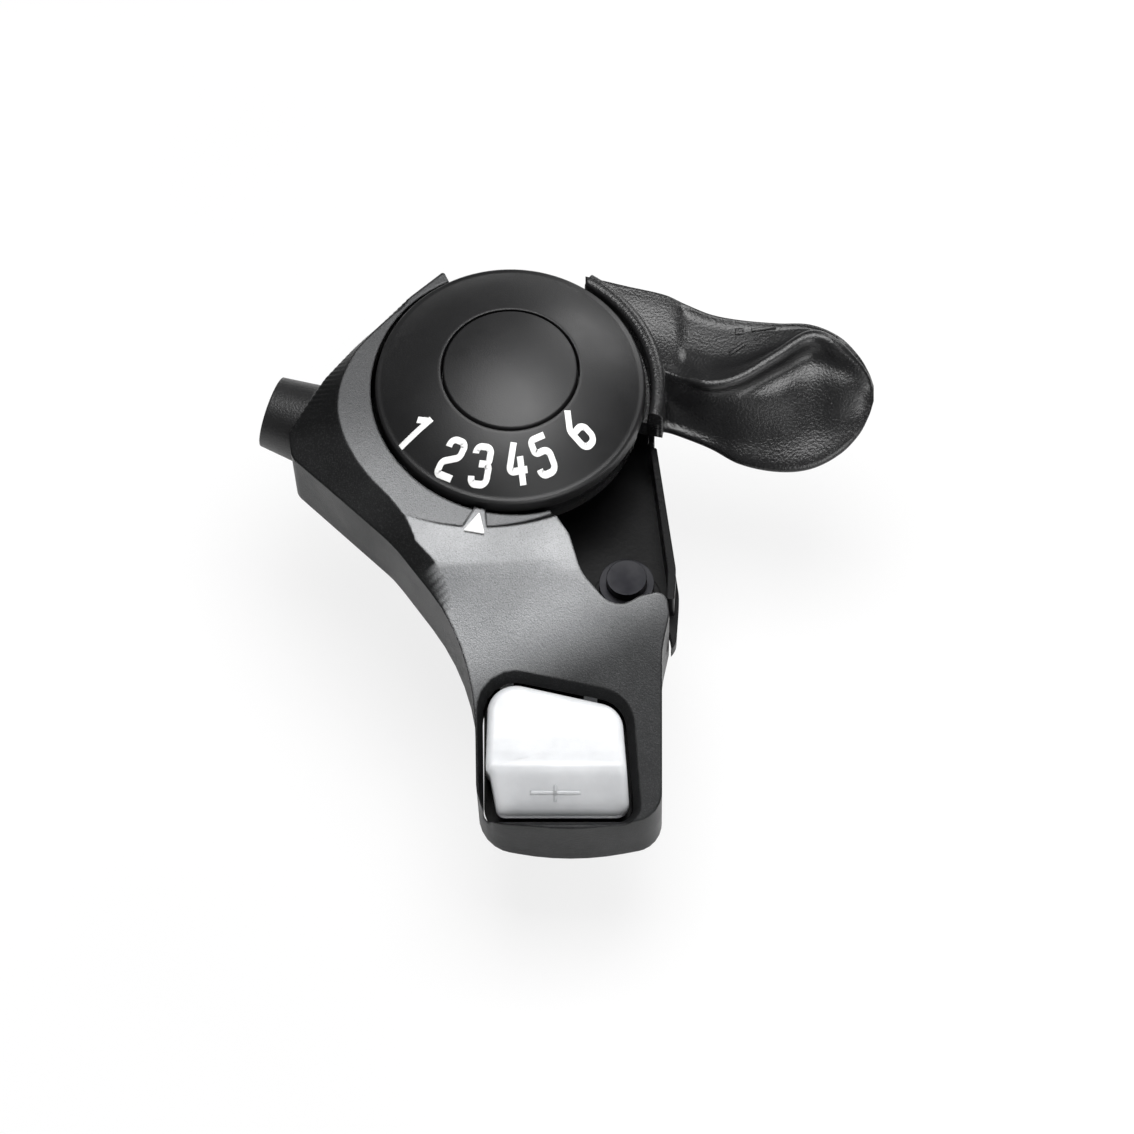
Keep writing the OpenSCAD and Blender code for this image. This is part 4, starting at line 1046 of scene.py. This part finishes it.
# %% The button's ears and finger
def bar_between(low, high):
    """A bar between two corners as four-cornered rings, its ends closed."""
    (x0, y0, z0), (x1, y1, z1) = low, high
    ring = np.array([[y0, z0], [y1, z0], [y1, z1], [y0, z1]])
    return np.stack([np.column_stack([np.full(4, x), ring]) for x in (x0, x1)])


EAR_X, EAR_W, EAR_R, EAR_END = (-1.2, 8.8), 1.6, 1.8, -21.4
PIVOT = np.array([-14.6, -5.4])
turns = np.radians(np.arange(0, 360, 12))
circle = PIVOT + EAR_R * np.stack([np.cos(turns), np.sin(turns)], axis=-1)
for x in EAR_X:
    bar = bar_between((x, EAR_END, PIVOT[1]), (x + EAR_W, PIVOT[0], PIVOT[1] + EAR_R))
    eye = np.stack([np.column_stack([np.full(len(turns), at), circle]) for at in (x, x + EAR_W)])
    button_parts += [tube_part(from_arm(bar)), tube_part(from_arm(eye))]

# Three bars make the finger that reaches in to the leaf spring
FINGER_Z = RIM_Z - 10.6
FINGER_BARS = (
    ((-1.2, -32, 0), (0.4, -13.1, 1.3)),
    ((-1.2, -14.3, 0), (3.4, -13.1, 1.3)),
    ((1.2, -14.1, 1.2), (3.4, -13.1, 2.7)),
)
for low, high in FINGER_BARS:
    button_parts.append(tube_part((bar_between(low, high) + [*AXIS, FINGER_Z]) * MM))
build_piece("release_button_skin", button_parts, button_finish, "button",
            smooth=40.0, stands_for=("release_button",))

# %% [markdown]
# ## A mark on the button
# A plain dash with a short tick stands faintly on the button's steep face, where the nail
# finds it. Both are strokes laid on the button's own side line.

# %% Button mark
BUTTON_MARK = ([[2.4, -31.1, 0], [8.4, -31.1, 0]], [[5.4, -30.3, 0], [5.4, -32.0, 0]])
mark_parts = []
for corners in BUTTON_MARK:
    strokes = stroke_rings(soft_path(corners), 0.42, 0.07)
    strokes[..., 2] += button_height(strokes[..., 1])
    mark_parts.append(tube_part(from_arm(strokes)))
build_piece("button_mark", mark_parts, button_finish, "button", smooth=50.0)

# %% [markdown]
# ## The floor of the button's pocket
# Under the button the two covers meet, and a thin lip of the lower one runs out to the wall.
# It is a flat plate over the pocket's outline, just above the lower cover, and shows only as
# the dark bottom of the gap round the button. A short arc of the same lip closes the slit
# between the bracket and the wall beside the barrel.

# %% Pocket floor
# The arm's underside runs from the skirt's height at the bend to the end wall's height
SKIRT_H, END_H, ARM_END = 11.0, 8.5, 54.1
run = ARM_END - BEND_Y
UNDER_TILT = math.atan((run * math.tan(ARM_TILT) + END_H - SKIRT_H) / run)
LIP_CORNERS = [[-3.1, -14.5, 1], [-3.1, -31.8, 3.6], [14.6, -31.8, 3.6], [14.6, -14.5, 1]]
lip_rings = levels_of([outline_with_radii(LIP_CORNERS)] * 2, (1.45, 1.75))
lip = tube_part(from_slope(lip_rings, UNDER_TILT, RIM_Z - SKIRT_H))
seal_profile = np.array([[14.8, 12.9], [17.5, 12.9], [17.5, 13.35], [14.8, 13.35]])
seal = tube_part(spun(seal_profile, 24, turn=40.0, start=148.0))
build_piece("pocket_floor", [lip, seal], base_finish, "housing")

# %% [markdown]
# ## Light and floor
# The real picture has a white ground and a broad soft light close above the shifter, which
# shines back off the flat top and the arm of the cover. A second lamp stands behind it on
# the right, and a fill comes from the front right. The floor is pale and catches a soft
# shadow.

# %% Floor
FLOOR_HALF, FLOOR_DROP = 2.0, 0.2 * MM
floor_level = cad_box[0][2] - FLOOR_DROP
corners = [(x * FLOOR_HALF, y * FLOOR_HALF, floor_level)
           for x, y in ((-1, -1), (1, -1), (1, 1), (-1, 1))]
floor_mesh = bpy.data.meshes.new("floor")
floor_mesh.from_pydata(corners, [], [(0, 1, 2, 3)])
floor = bpy.data.objects.new("floor", floor_mesh)
scene.collection.objects.link(floor)
floor_material, tree, shader = start_material("pale_floor")
fill(tree, shader, Base_Color=rgb(0.86, 0.86, 0.86), Roughness=0.9)
# To the camera it glows white, so that it can't be told from the ground of the photograph
glow = put(tree, "Emission", Color=rgb(1, 1, 1), Strength=1.0)
share = calc(tree, "MULTIPLY", put(tree, "LightPath").outputs["Is Camera Ray"], 0.8)
mix = put(tree, "MixShader", s0=share, s1=shader.outputs[0], s2=glow.outputs[0])
fill(tree, tree.nodes["Material Output"], Surface=mix.outputs[0])
floor_mesh.materials.append(floor_material)
print("floor at", round(floor_level / MM, 2), "mm")

# %% World and lamps
world = bpy.data.worlds.new("studio")
scene.world = world
world.use_nodes = True
tree = world.node_tree
seen = put(tree, "LightPath").outputs["Is Camera Ray"]
# White to the camera, dim as a light
fill(tree, tree.nodes["Background"], Color=rgb(1, 1, 1),
     Strength=calc(tree, "MULTIPLY_ADD", seen, 0.85, 0.15))


def soft_lamp(name, direction, reach, size, power):
    """A square lamp that looks at the shifter from a direction: reach, size in metres, watts."""
    data = bpy.data.lights.new(name, "AREA")
    data.size = size
    data.energy = power
    lamp = bpy.data.objects.new(name, data)
    aim = Vector(direction).normalized()
    lamp.location = look_at + aim * reach
    lamp.rotation_euler = aim.to_track_quat("Z", "Y").to_euler()
    scene.collection.objects.link(lamp)


soft_lamp("top_softbox", (0.03, 0.12, 0.99), 0.3, 0.2, 1.15)
soft_lamp("back_right_softbox", (0.49, 0.79, 0.42), 0.7, 0.3, 1.6)
soft_lamp("front_fill", (0.5, -1.0, 0.5), 0.8, 0.4, 2.6)
